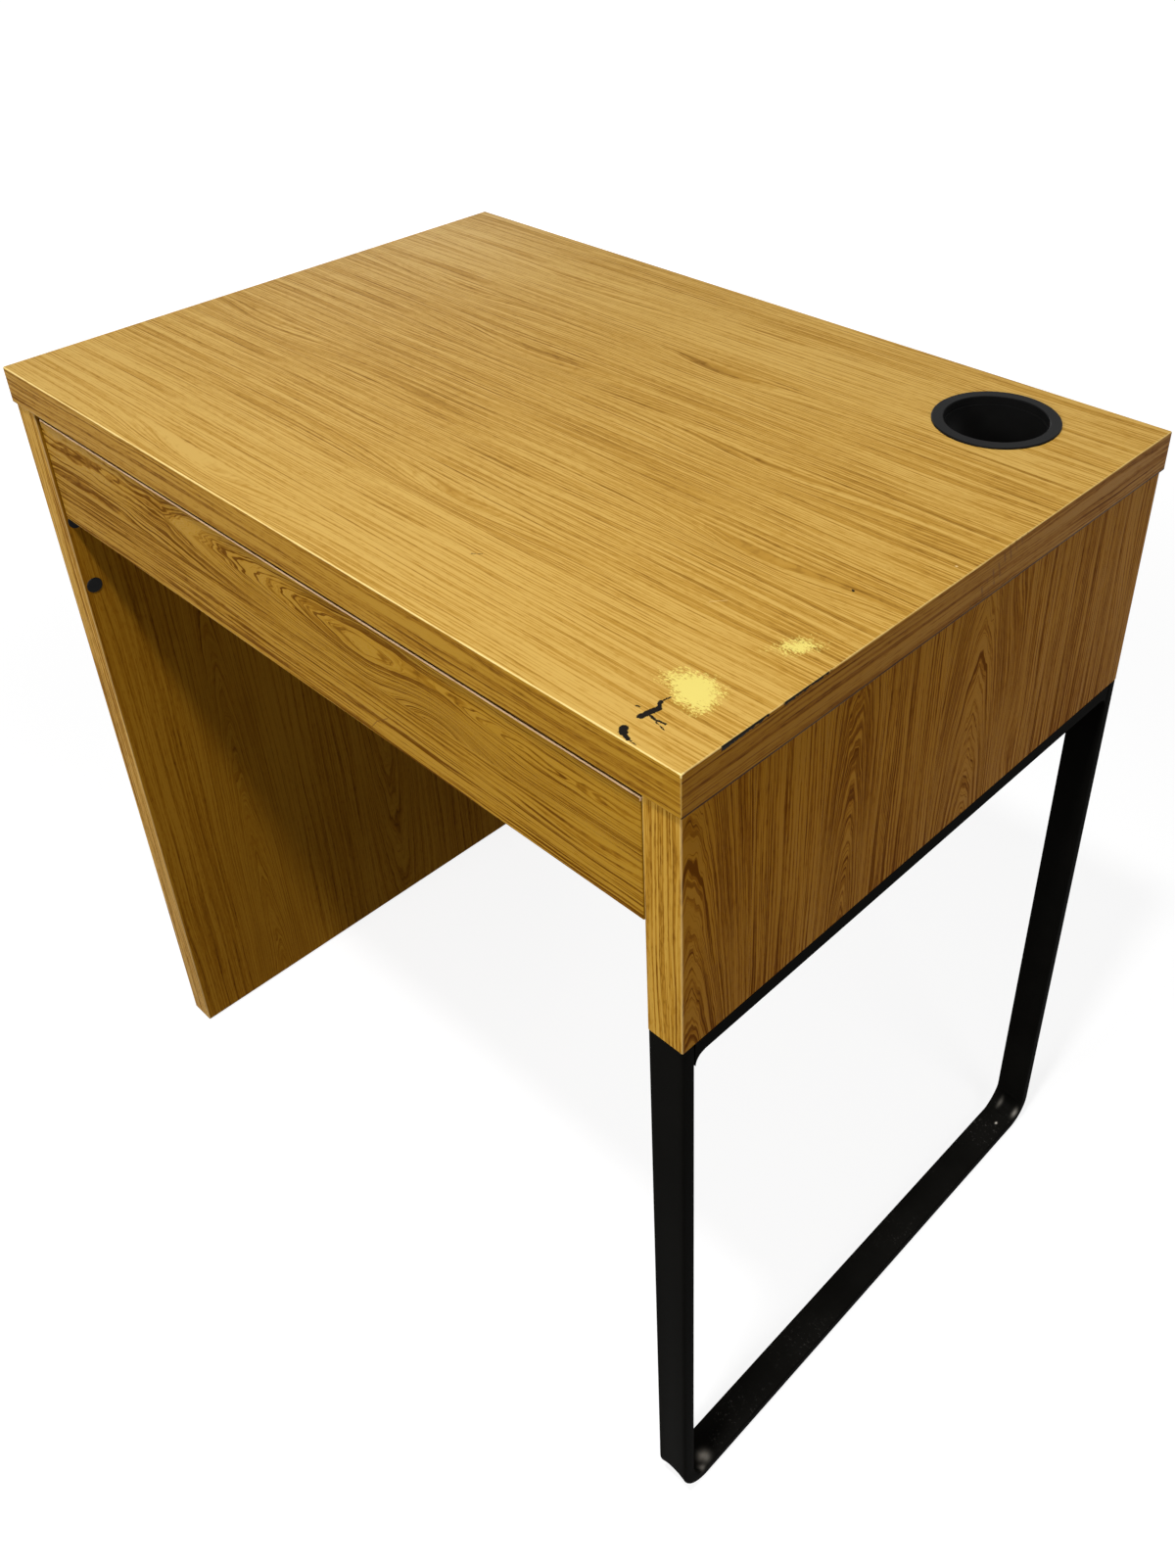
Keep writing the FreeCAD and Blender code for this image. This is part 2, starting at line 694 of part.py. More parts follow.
def make_drawer():
    """The drawer's front, sides, back and bottom, with the fittings that hold them together."""
    board(
        "drawer_front",
        ("0 - front_edge", "drawer_face", "front_bottom"),
        ("front_edge", "front_back", "front_top"),
    )
    for side, sign in SIDES.items():
        near = "0 - box_outer" if sign < 0 else "box_inner"
        board(
            f"drawer_{side}_side",
            (near, "front_back", "box_bottom"),
            (f"{near} + box_side_thickness", "box_end", "box_top"),
        )
    board(
        "drawer_back",
        ("0 - box_inner", "box_back_face", "box_bottom"),
        ("box_inner", "box_end", "box_top"),
    )
    bottom_low = ("0 - box_inner - groove_reach", "front_back - groove_reach",
                  "groove_bottom + groove_clearance / 2")
    bottom_high = ("box_inner + groove_reach", "box_back_face + groove_reach",
                   "groove_bottom + groove_clearance / 2 + box_bottom_thickness")
    pieces["drawer_bottom"] = block("drawer_bottom", bottom_low, bottom_high)
    groove = block(
        "bottom_groove",
        ("0 - box_inner - groove_depth", "front_back - groove_depth", "groove_bottom"),
        ("box_inner + groove_depth", "box_back_face + groove_depth", "groove_bottom + groove_width"),
    )
    drill(["drawer_front", "drawer_left_side", "drawer_right_side", "drawer_back"], groove)

    locks = []
    bolts = []
    dowels = []
    screws = []
    for side, sign in SIDES.items():
        node = f"drawer_{side}_side"
        middle = f"{sign} * box_middle"
        joint = (middle, "front_back", "box_bottom + box_cam_raise")
        lock, bolt = cam_fitting(f"box_cam_{side}", node, "drawer_front", joint, "y", 1, "x", sign,
                                 f"{sign} * box_inner", "box_cam")
        locks.append(lock)
        bolts.append(bolt)
        joint = (middle, "front_back", "box_bottom + box_dowel_raise")
        dowels.append(dowel(f"box_dowel_{side}", [node, "drawer_front"], joint, "y", 1, "box_dowel"))
        for number in (1, 2):
            name = f"back_screw_{side}_{number}"
            outside = (
                f"{sign} * box_outer",
                "box_end - box_back_thickness / 2",
                f"box_bottom + back_screw_raise + {number - 1} * back_screw_pitch",
            )
            seat = shift(outside, "x", f"{-sign} * back_screw_head_height")
            screws.append(headed(name, "x", -sign, seat, "back_screw_radius", "back_screw_length",
                                 "back_screw_head_radius", "back_screw_head_height"))
            way = rod(name + "_way", "x", -sign, seat, "back_screw_radius + fit_clearance",
                      "back_screw_length + end_gap")
            sink = rod(name + "_sink", "x", -sign, outside, "back_screw_head_radius + fit_clearance",
                       "back_screw_head_height")
            drill([node, "drawer_back"], way)
            drill([node], sink)
    group("drawer_cam_locks", locks)
    group("drawer_cam_bolts", bolts)
    group("drawer_dowels", dowels)
    group("drawer_back_screws", screws)


def roller(node, place):
    """A wheel with bevelled rims, turning about X."""
    half = "roller_width / 2"
    wheel = turned(node, [
        ("roller_bore", f"0 - {half}"),
        ("roller_radius - roller_edge", f"0 - {half}"),
        ("roller_radius", f"roller_edge - {half}"),
        ("roller_radius", f"{half} - roller_edge"),
        ("roller_radius - roller_edge", half),
        ("roller_bore", half),
    ])
    pieces[node] = put(wheel, place, TURNS["x"])


def make_runners():
    """A channel on each side of the carcass, a profile on each side of the drawer, and a roller on each."""
    cabinet_pins = []
    drawer_pins = []
    cabinet_screws = []
    drawer_screws = []
    for side, sign in SIDES.items():
        panel = "left_side_panel" if sign < 0 else "right_side_board"

        def across(inward):
            return f"{sign} * (side_inner - ({inward}))"

        cabinet = f"{side}_cabinet_runner"
        channel = extruded(cabinet + "_blank", "XZ_Plane", [
            (across("0"), "track_floor - runner_gauge"),
            (across("track_flange"), "track_floor - runner_gauge"),
            (across("track_flange"), "track_floor"),
            (across("runner_gauge"), "track_floor"),
            (across("runner_gauge"), "track_roof"),
            (across("track_flange"), "track_roof"),
            (across("track_flange"), "track_roof + runner_gauge"),
            (across("0"), "track_roof + runner_gauge"),
        ], "runner_length", both_ways=False)
        blank(cabinet, put(channel, ("0", "runner_front", "0")))

        drawer = f"{side}_drawer_runner"
        profile = extruded(drawer + "_blank", "XZ_Plane", [
            (across("box_web"), "box_bottom - runner_gauge"),
            (across("runner_space + box_side_thickness"), "box_bottom - runner_gauge"),
            (across("runner_space + box_side_thickness"), "box_bottom"),
            (across("runner_space"), "box_bottom"),
            (across("runner_space"), "lip_top"),
            (across("lip_edge"), "lip_top"),
            (across("lip_edge"), "lip_bottom"),
            (across("box_web"), "lip_bottom"),
        ], "runner_length", both_ways=False)
        blank(drawer, put(profile, ("0", "runner_front", "0")))

        front = (across("front_roller_middle"), "front_axle_y", "front_axle_z")
        rear = (across("rear_roller_middle"), "rear_axle_y", "rear_axle_z")
        roller(f"{side}_front_roller", front)
        roller(f"{side}_rear_roller", rear)
        axles = (
            ("front", cabinet, cabinet_pins, front, sign, "front_roller_middle"),
            ("rear", drawer, drawer_pins, rear, -sign, "runner_space - rear_roller_middle"),
        )
        for end, carrier, pins, centre, inward, depth in axles:
            name = f"{side}_{end}_pin"
            gap = "(roller_width / 2 + roller_side_gap)"
            seat = shift(centre, "x", f"{-inward} * {gap}")
            length = f"{depth} + {gap}"
            pins.append(headed(name, "x", inward, seat, "pin_radius", length,
                               "pin_head_radius", "pin_head_thickness"))
            hole = rod(name + "_hole", "x", inward, seat, "pin_radius + fit_clearance", length)
            drill([carrier], hole)

        for number in (1, 2, 3):
            y = f"runner_front + runner_screw_first + {number - 1} * runner_screw_pitch"
            name = f"{side}_cabinet_screw_{number}"
            seat = (across("runner_gauge"), y, "track_middle")
            cabinet_screws.append(headed(name, "x", sign, seat, "screw_radius", "screw_length",
                                         "screw_head_radius", "screw_head_height"))
            hole = rod(name + "_hole", "x", sign, seat, "screw_radius + fit_clearance",
                       "screw_length + end_gap")
            drill([cabinet, panel], hole)
            name = f"{side}_drawer_screw_{number}"
            seat = (across("box_web"), y, "track_middle")
            drawer_screws.append(headed(name, "x", -sign, seat, "screw_radius", "screw_length",
                                        "screw_head_radius", "screw_head_height"))
            hole = rod(name + "_hole", "x", -sign, seat, "screw_radius + fit_clearance",
                       "screw_length + end_gap")
            drill([drawer, f"drawer_{side}_side"], hole)
    group("cabinet_roller_pins", cabinet_pins)
    group("drawer_roller_pins", drawer_pins)
    group("cabinet_runner_screws", cabinet_screws)
    group("drawer_runner_screws", drawer_screws)


def check_and_write():
    """Stop on any failed object, then write each piece to its own file."""
    doc.recompute()
    for item in doc.Objects:
        if "Invalid" in item.State or "Error" in item.State:
            raise RuntimeError(f"{item.Label} failed to build: {item.State}")
    for node, piece in pieces.items():
        piece.Label = node
        if piece.Shape.isNull() or not piece.Shape.isValid():
            raise RuntimeError(f"{node} has no valid shape")
    os.makedirs("parts", exist_ok=True)
    for node, piece in pieces.items():
        piece.Shape.exportStep(f"parts/{node}.step")
        print(f"{node}: {len(piece.Shape.Solids)} solids, {piece.Shape.Volume / 1000:.2f} cm3")


fill_sheet()
make_boards()
make_cable_outlet()
make_hole_caps()
make_leg_frame()
make_feet()
make_carcass_fittings()
make_drawer()
make_runners()
finish_blanks()
check_and_write()
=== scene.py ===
import math

import bmesh
import bpy
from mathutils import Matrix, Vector


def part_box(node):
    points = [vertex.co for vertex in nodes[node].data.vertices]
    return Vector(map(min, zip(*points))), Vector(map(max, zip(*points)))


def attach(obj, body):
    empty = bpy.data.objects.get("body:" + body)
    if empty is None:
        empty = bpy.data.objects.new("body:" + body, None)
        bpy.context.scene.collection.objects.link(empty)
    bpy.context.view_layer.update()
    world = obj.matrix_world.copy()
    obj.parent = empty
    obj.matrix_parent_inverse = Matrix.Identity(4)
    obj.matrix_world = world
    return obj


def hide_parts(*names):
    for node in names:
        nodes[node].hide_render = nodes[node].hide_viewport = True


# A small wood-effect desk: its finishes, its dented leg frame, and a plain studio around it.
# Metres, with X to the right, Y to the back and Z up from the floor.
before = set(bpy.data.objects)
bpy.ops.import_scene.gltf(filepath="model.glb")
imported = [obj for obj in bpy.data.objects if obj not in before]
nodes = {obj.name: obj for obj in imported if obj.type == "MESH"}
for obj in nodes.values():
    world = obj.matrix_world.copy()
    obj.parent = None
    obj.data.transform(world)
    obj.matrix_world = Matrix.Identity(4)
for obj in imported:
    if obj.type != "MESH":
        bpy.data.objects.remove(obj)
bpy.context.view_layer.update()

MM = 0.001
AXES = "xyz"

# The camera of the photograph, for an image of 1200 by 1601 pixels
IMAGE_WIDTH = 1200
IMAGE_HEIGHT = 1601
SENSOR = 36
FOCAL_PIXELS = 1442.7
OPTICAL_CENTRE = (651.4, 655.1)
CAMERA_PLACE = (0.7259, -0.6357, 1.1972)
CAMERA_TURN = (55.163, 1.266, 44.312)

# Lamps: place, point aimed at, width and power
LAMPS = {
    "key": ((0.48, -0.90, 3.00), (0.1, -0.05, 0.7), 0.20, 42),
    "front_fill": ((0.00, -2.80, 1.90), (0.0, 0.0, 0.6), 1.3, 47),
    "right_fill": ((3.00, -0.30, 2.80), (0.2, 0.0, 0.6), 1.6, 31),
    "rear_fill": ((-3.00, 2.00, 0.70), (0.0, 0.1, 0.4), 1.4, 22),
}
# Surroundings: light from all sides, the floor's size and grey, its glow near the desk, and how far from the
# desk it starts to turn white and is white
AMBIENT = 0.056
FLOOR_REACH = 14
FLOOR_GREY = 0.25
NEAR_GLOW = 0.84
WHITE_FROM = 0.9
WHITE_AT = 2.4

# Colours of the wood foil, from its palest fibre to its darkest line, and of its pale arrises: partly wear
# and partly a painted highlight, and on the drawer front a painted highlight alone
OAK_PALE = (0.600, 0.345, 0.075)
OAK_MIDDLE = (0.450, 0.225, 0.030)
OAK_DARK = (0.200, 0.080, 0.008)
OAK_WEAR_AND_HIGHLIGHT = (0.88, 0.68, 0.33)
TOP_ARRIS_WEAR_AND_HIGHLIGHT = (0.88, 0.67, 0.26)
DRAWER_ARRIS_HIGHLIGHT = (1.00, 0.70, 0.42)
# Tints of the foil on each kind of face. Most are painted light: lit and shaded copies of one foil, the top
# paler with its blue raised as a painted sheen, and the fronts, the sides, the right board and the top's
# right end darker and more orange as painted shade. The posts' and the drawer box's tints are their own paler
# foil.
TOP_TINT = (1.05, 1.13, 1.25)
TOP_END_TINT = (0.72, 0.54, 0.06)
FRONT_TINT = (0.78, 0.71, 0.25)
POST_TINT = (1.04, 1.01, 0.70)
SIDE_TINT = (0.68, 0.54, 0.16)
RIGHT_TINT = (0.84, 0.62, 0.12)
BOX_TINT = (0.92, 0.88, 0.80)
# Colours of wear, of painted glints on the leg's bends, and of painted shade lines
BARE_CORE = (0.80, 0.66, 0.17)
BLACK_MARK = (0.008, 0.006, 0.004)
PAINTED_GLINT = (0.95, 0.88, 0.76)
SHADE_LINE_COLOUR = (0.020, 0.008, 0.002)

# Darkness of the print: on average, before its layers are added, and the foil's finish
MEAN_SHADE = 0.42
BASE_SHADE = 0.34
FOIL_ROUGHNESS = 0.38
DARK_ROUGHNESS = 0.20
LINE_DEPTH = 0.03 * MM
# In millimetres: half the blur between two printed planks, and how far off a plank without arches has
# its heart
PLANK_BLUR = 0.3
STRAIGHT = 400
# Wandering of the lines as (cells per metre along, cells per metre across, reach, detail, seed)
WAVE = (1.8, 9, 16 * MM, 2.0, 0.0)
RIPPLE = (7, 32, 6 * MM, 3.0, 3.1)
ARCH_RAGGED = (22, 120, 10 * MM, 2.0, 5.9)
ARCH_TIP = 9 * MM
# Growth lines: their weight and mean, how fast each one fades, cells per metre across and along of the noise
# that shifts them and of the noise that thins them out, and where the latter leaves them faint and full
GROWTH_WEIGHT = 0.20
GROWTH_MEAN = 0.2
GROWTH_FADE = 3
GROWTH_SHIFT = (50, 3)
GROWTH_THIN = (40, 6)
GROWTH_THIN_SEED = 7.7
GROWTH_THIN_RANGE = (0.15, 0.60)
# Layers of the print, which follow the rings, as (cells per metre across, cells per metre along, noise that
# counts as pale, noise that counts as dark, mean, weight): long lines and dashes, fibres and pores,
# strands and clouds
LINE_LAYERS = [
    (600, 5, 0.40, 0.62, 0.45, 0.26),
    (640, 10, 0.54, 0.62, 0.20, 0.15),
]
PORE_LAYERS = [
    (1200, 60, 0.20, 0.80, 0.50, 0.18),
    (620, 120, 0.50, 0.66, 0.30, 0.13),
]
BROAD_LAYERS = [
    (230, 5, 0.34, 0.66, 0.50, 0.11),
    (60, 2, 0.20, 0.80, 0.50, 0.14),
    (15, 1, 0.20, 0.80, 0.50, 0.20),
]
LAYER_SEED_STEP = 2.0
# Style of a print: width of a growth ring in millimetres, wandering, width of the lines, and the strength of
# the growth lines, of the fine lines and of the broad layers
PLAIN_STYLE = dict(rings=6.0, wander=1.0, spacing=1.0, figure=1.0, lines=1.0, broad=1.0)
EDGE_STYLE = dict(rings=3.2, wander=1.0, spacing=1.0, figure=1.2, lines=1.4, broad=0.9)
EDGE_SEED = 5.3

# How far a surface has to face one way to count as a face, as upward, as the right side and as the front
FACE_TURN = (0.55, 0.85)
UPWARD = (0.5, 0.9)
RIGHTWARD = (0.35, 0.75)
FORWARD = (-0.6, -0.9)
# Pale arrises, partly wear and partly a painted highlight: cells per metre and reach of their ragged edge,
# blur outside and inside in millimetres, and how near to both faces an arris lies
ARRIS_CELLS = 45
ARRIS_RAGGED = 0.8 * MM
ARRIS_OUTER = 0.3
ARRIS_INNER = 0.4
ARRIS_NEAR = (3 * MM, 2 * MM)

# Wear of the top in millimetres: rubbed spots as (middle, half sizes, turn, strength)
RUBBED_SPOTS = [
    ((326, -197), (18, 15), -40, 1.0),
    ((317, -191), (34, 22), 20, 0.62),
    ((338, -126.5), (32, 20), 50, 0.54),
]
RUBBED_SEED = 21.0
RUBBED_RANGE = (0.12, 0.42)
# specks and clouds of a rubbed spot as (cells per metre in X, cells per metre in Y, weight)
SPECKS = (420, 760, 1.9)
SPECK_DETAIL = 3.0
SPECK_ROUGHNESS = 0.7
CLOUDS = (90, 110, 0.9)
CLOUD_SEED = 2.0
# strokes as (start, end, half width): black chips, pale scratches, and the crack of the drawer front
CHIPS = [
    ((317.9, -230.0), (320.1, -219.0), 2.1),
    ((320.1, -219.0), (317.0, -213.7), 1.3),
    ((317.0, -213.7), (318.1, -207.8), 0.6),
    ((320.0, -226.0), (326.0, -227.0), 0.9),
    ((326.0, -227.0), (331.6, -226.0), 0.8),
    ((327.0, -228.0), (334.9, -230.1), 0.35),
    ((310.0, -225.0), (312.0, -224.5), 0.5),
    ((318.3, -242.7), (320.5, -245.3), 2.5),
    ((320.5, -245.5), (326.5, -247.6), 1.4),
    ((326.5, -247.6), (332.3, -248.4), 0.4),
    ((129.0, -184.0), (134.0, -180.0), 0.25),
    ((325.7, -61.0), (326.3, -61.0), 0.8),
]
SCRATCHES = [
    ((272.0, -126.0), (279.0, -118.0), 0.15),
    ((354.8, 1.5), (355.2, 1.5), 0.7),
]
DRAWER_CRACK = [((85, 628), (92, 636), 0.35), ((92, 636), (105, 645), 0.3)]
# each kind of stroke: its seed, how ragged it is in millimetres and how strong
CHIP_STROKE = (31.0, 3.4, 1.0)
SCRATCH_STROKE = (33.0, 0.5, 0.7)
CRACK_STROKE = (51.0, 0.8, 0.8)
STROKE_CELLS = 640
STROKE_DETAIL = 4.0
STROKE_ROUGHNESS = 0.75
STROKE_BLUR = 0.15
# chips of the right rim as (start, end, height at the start)
RIM_CHIPS = [(-221, -182, 3.3), (-172, -130, 2.0)]
RIM_CELLS = (380, 300)
RIM_SEED = 41.0
RIM_DETAIL = 3.0
RIM_TAPER = 0.55
RIM_RAGGED_ENDS = 0.12
RIM_RAGGED_HEIGHT = 3.6 * MM
RIM_START = (0.0, 0.04)
RIM_STOP = (1.0, 0.94)
RIM_BLUR = 0.3 * MM
# slanted scrapes of the right edge: their spacing and slant, the band that they fill, and their strength
SCRAPE_SPACING = 6.6 * MM
SCRAPE_SLANT = 0.30
SCRAPE_START = (0.60, 0.74)
SCRAPE_STOP = (0.99, 0.88)
BAND_SLANT = 1.55
BAND_DROP = 30 * MM
BAND_START = (-6 * MM, -1 * MM)
BAND_STOP = (24 * MM, 16 * MM)
SCRAPE_CELLS = 120
SCRAPE_SEED = 43.0
SCRAPE_DETAIL = 3.0
SCRAPE_FAINT = (0.30, 0.62)
SCRAPE_STRENGTH = 0.75
# painted shade lines: a painted shadow along the bottom of the top's right edge, over the shaded gap to the
# board below, and painted shade on the drawer front's top behind its arris, in the shaded gap under the top
OVERHANG_SHADOW_HEIGHT = (2.3 * MM, 1.7 * MM)
OVERHANG_SHADOW_STRENGTH = 0.85
GAP_SHADE_START = (0.5 * MM, 0.8 * MM)
GAP_SHADE_STOP = (2.6 * MM, 2.2 * MM)
GAP_SHADE_STRENGTH = 0.9
# Painted glints: pale spots on the leg frame's bends in place of highlights, as (middle, half sizes,
# strength)
LEG_GLINTS = [
    ((355.5, -219.5, 13.0), (3.6, 4.2, 5.0), 1.0),
    ((360.5, -226.5, 15.0), (2.4, 2.8, 3.0), 0.40),
    ((344.0, 230.5, 18.0), (1.6, 4.0, 5.0), 0.20),
    ((361.0, 230.0, 17.5), (2.0, 4.0, 4.0), 0.28),
    ((353.3, 210.5, 13.0), (0.9, 1.2, 2.0), 0.8),
]


class Field:
    """A number that varies over a surface. Arithmetic on it adds nodes to its material."""

    def __init__(self, graph, socket):
        self.graph = graph
        self.socket = socket

    def __add__(self, other):
        return self.graph.math("ADD", self, other)

    def __sub__(self, other):
        return self.graph.math("SUBTRACT", self, other)

    def __rsub__(self, other):
        return self.graph.math("SUBTRACT", other, self)

    def __mul__(self, other):
        return self.graph.math("MULTIPLY", self, other)

    def __truediv__(self, other):
        return self.graph.math("DIVIDE", self, other)

    def __pow__(self, other):
        return self.graph.math("POWER", self, other)

    __radd__ = __add__
    __rmul__ = __mul__

    def size(self):
        return self.graph.math("ABSOLUTE", self)

    def part(self):
        return self.graph.math("FRACT", self)

    def least(self, other):
        return self.graph.math("MINIMUM", self, other)

    def most(self, other):
        return self.graph.math("MAXIMUM", self, other)

    def rise(self, low, high):
        """0 below the low value and 1 above the high one, smooth between; the other way if low is higher."""
        node = self.graph.node("ShaderNodeMapRange", interpolation_type="SMOOTHSTEP")
        ends = (self, min(low, high), max(low, high), float(low > high), float(low < high))
        for socket, value in zip(node.inputs, ends):
            self.graph.feed(socket, value)
        return Field(self.graph, node.outputs[0])


class Graph:
    """The nodes of one material."""

    def __init__(self, name):
        self.material = bpy.data.materials.new(name)
        self.material.use_nodes = True
        self.tree = self.material.node_tree
        self.tree.nodes.clear()
        place = self.node("ShaderNodeSeparateXYZ")
        self.tree.links.new(self.node("ShaderNodeTexCoord").outputs["Object"], place.inputs[0])
        self.place = [Field(self, socket) for socket in place.outputs]
        facing = self.node("ShaderNodeSeparateXYZ")
        self.tree.links.new(self.node("ShaderNodeNewGeometry").outputs["Normal"], facing.inputs[0])
        self.facing = [Field(self, socket) for socket in facing.outputs]

    def node(self, kind, **settings):
        made = self.tree.nodes.new(kind)
        for name, value in settings.items():
            setattr(made, name, value)
        return made

    def feed(self, socket, value):
        if isinstance(value, Field):
            value = value.socket
        if isinstance(value, bpy.types.NodeSocket):
            self.tree.links.new(value, socket)
        elif socket.type == "RGBA":
            socket.default_value = (*value, 1)
        else:
            socket.default_value = value

    def math(self, operation, *values):
        node = self.node("ShaderNodeMath", operation=operation)
        for socket, value in zip(node.inputs, values):
            self.feed(socket, value)
        return Field(self, node.outputs[0])

    def noise(self, u, v, w=0.0, detail=2.0, roughness=0.5):
        """Soft noise from 0 to 1 at a point that is already scaled."""
        point = self.node("ShaderNodeCombineXYZ")
        for socket, value in zip(point.inputs, (u, v, w)):
            self.feed(socket, value)
        node = self.node("ShaderNodeTexNoise")
        self.feed(node.inputs["Vector"], point.outputs[0])
        self.feed(node.inputs["Scale"], 1.0)
        self.feed(node.inputs["Detail"], detail)
        self.feed(node.inputs["Roughness"], roughness)
        return Field(self, node.outputs[0])

    def solid_noise(self, cells, detail=2.0, roughness=0.5):
        """Soft noise from 0 to 1 that runs through the solid, with so many cells per metre."""
        x, y, z = self.place
        return self.noise(x * cells, y * cells, z * cells, detail, roughness)

    def ramp(self, value, stops):
        """Colour from a ramp over stops of (position, colour)."""
        node = self.node("ShaderNodeValToRGB")
        points = node.color_ramp.elements
        while len(points) < len(stops):
            points.new(1.0)
        for point, (position, colour) in zip(points, stops):
            point.position = position
            point.color = (*colour, 1)
        self.feed(node.inputs[0], value)
        return node.outputs[0]

    def blend(self, share, first, second):
        """The first colour or number where the share is 0, the second where it is 1."""
        kind = "FLOAT" if isinstance(first, (Field, float)) else "RGBA"
        node = self.node("ShaderNodeMix", data_type=kind)
        chosen = [socket for socket in node.inputs if socket.enabled]
        for socket, value in zip(chosen, (share, first, second)):
            self.feed(socket, value)
        result = next(socket for socket in node.outputs if socket.enabled)
        return Field(self, result) if kind == "FLOAT" else result

    def surface(self, colour, roughness, height, depth, **settings):
        """Close the material with a shader, and a bump of the given depth in metres."""
        shader = self.node("ShaderNodeBsdfPrincipled")
        self.feed(shader.inputs["Base Color"], colour)
        self.feed(shader.inputs["Roughness"], roughness)
        for name, value in settings.items():
            self.feed(shader.inputs[name.replace("_", " ")], value)
        bump = self.node("ShaderNodeBump")
        self.feed(bump.inputs["Strength"], 1.0)
        self.feed(bump.inputs["Distance"], depth)
        self.feed(bump.inputs["Height"], height)
        self.tree.links.new(bump.outputs[0], shader.inputs["Normal"])
        output = self.node("ShaderNodeOutputMaterial")
        self.tree.links.new(shader.outputs[0], output.inputs[0])
        return self.material


def paint(material, *names):
    """Give the named nodes one material."""
    for name in names:
        mesh = nodes[name].data
        mesh.materials.clear()
        mesh.materials.append(material)


def plank(start, tone, heart=None, turn=0, span=100, rise=0, reach=30):
    """A printed plank: where it starts across the grain and how dark it is. If it has arches, then also their
    heart, where they start along the grain, how far they run from there, by how much the rings rise on that
    way, and how far from the heart the lines run straight again."""
    if heart is None:
        heart = start - STRAIGHT
    return start * MM, tone, heart * MM, turn * MM, span * MM, rise * MM, reach * MM


PLAIN_PLANKS = [plank(0, 0.0)]


def drift(graph, u, v, seed, row, share=1.0):
    """How far the lines are moved at a place along and across the fibres."""
    along, across, reach, detail, own_seed = row
    return (graph.noise(u * along, v * across, seed + own_seed, detail) - 0.5) * (reach * share)


def ring_place(graph, u, v, seed, values, eyes, wander):
    """A number that is the same all along a growth ring: straight lines, arches round a heart, and bulges
    round the eyes."""
    heart, turn, span, rise, reach = values
    away = v + drift(graph, u, v, seed, WAVE, wander) + drift(graph, u, v, seed, RIPPLE, wander) - heart
    share = away / reach
    arched = graph.math("EXPONENT", share * share * -1.0)
    ragged = drift(graph, u, v, seed, ARCH_RAGGED)
    way = ((u - turn) / span).most(0.0).least(1.0)
    ring = (away * away + ARCH_TIP ** 2) ** 0.5 - (way * rise + ragged) * arched
    for along, across, half_length, half_width, bulge, lowest in eyes:
        first = (u - along * MM) / (half_length * MM)
        second = (v - across * MM) / (half_width * MM)
        hump = graph.math("EXPONENT", (first * first + second * second) * -1.0) * (bulge * MM)
        if lowest is not None:
            hump = hump * v.rise((lowest - PLANK_BLUR) * MM, (lowest + PLANK_BLUR) * MM)
        ring = ring + hump
    return ring


def wood_shade(graph, u, v, seed, planks, eyes, contrast, rings, wander, spacing, figure, lines, broad):
    """Darkness of the printed grain, from 0 to 1, at a place along and across the fibres."""
    values = planks[0][1:]
    for start, *later in planks[1:]:
        inside = v.rise(start - PLANK_BLUR * MM, start + PLANK_BLUR * MM)
        values = [graph.blend(inside, first, second) for first, second in zip(values, later)]
    tone = values[0]
    ring = ring_place(graph, u, v, seed, values[1:], eyes, wander)

    across, along = GROWTH_SHIFT
    shift = graph.noise(ring * across, u * along, seed)
    growth = (1 - (ring / (rings * MM) + shift).part()) ** GROWTH_FADE
    across, along = GROWTH_THIN
    growth = growth * graph.noise(ring * across, u * along, seed + GROWTH_THIN_SEED).rise(*GROWTH_THIN_RANGE)
    shade = BASE_SHADE + tone + GROWTH_WEIGHT * figure * (growth - GROWTH_MEAN)
    groups = [(lines, spacing, LINE_LAYERS), (1.0, 1.0, PORE_LAYERS), (broad, 1.0, BROAD_LAYERS)]
    for strength, wider, layers in groups:
        for across, along, pale, dark, mean, weight in layers:
            seed += LAYER_SEED_STEP
            print_layer = graph.noise(ring * (across / wider), u * along, seed).rise(pale, dark)
            shade = shade + strength * weight * (print_layer - mean)
    return MEAN_SHADE + (shade - MEAN_SHADE) * contrast


def oak_colour(graph, shade, tint):
    """Colour of the print for its darkness."""
    stops = [(0.0, OAK_PALE), (MEAN_SHADE, OAK_MIDDLE), (1.0, OAK_DARK)]
    tinted = [(at, tuple(part * share for part, share in zip(colour, tint))) for at, colour in stops]
    return graph.ramp(shade, tinted)


def arris_share(graph, low, high, width, arrises):
    """Pale paint on the arrises named by the two faces that meet there: partly wear, partly a painted
    highlight.
    """
    place = graph.place
    # on an arris the middle one of the three distances from the board's faces is small as well
    reach = [(place[axis] - low[axis]).least(high[axis] - place[axis]) for axis in range(3)]
    middle = reach[0].least(reach[1]).most(reach[0].most(reach[1]).least(reach[2]))
    ragged_edge = graph.solid_noise(ARRIS_CELLS) - 0.5
    arris = (middle + ragged_edge * ARRIS_RAGGED).rise((width + ARRIS_OUTER) * MM, (width - ARRIS_INNER) * MM)
    shown = 0.0
    for faces, strength in arrises:
        beside = strength
        for sign, direction in zip(faces[::2], faces[1::2]):
            axis = AXES.index(direction)
            away = high[axis] - place[axis] if sign == "+" else place[axis] - low[axis]
            beside = away.rise(*ARRIS_NEAR) * beside
        shown = beside + shown
    return arris * shown


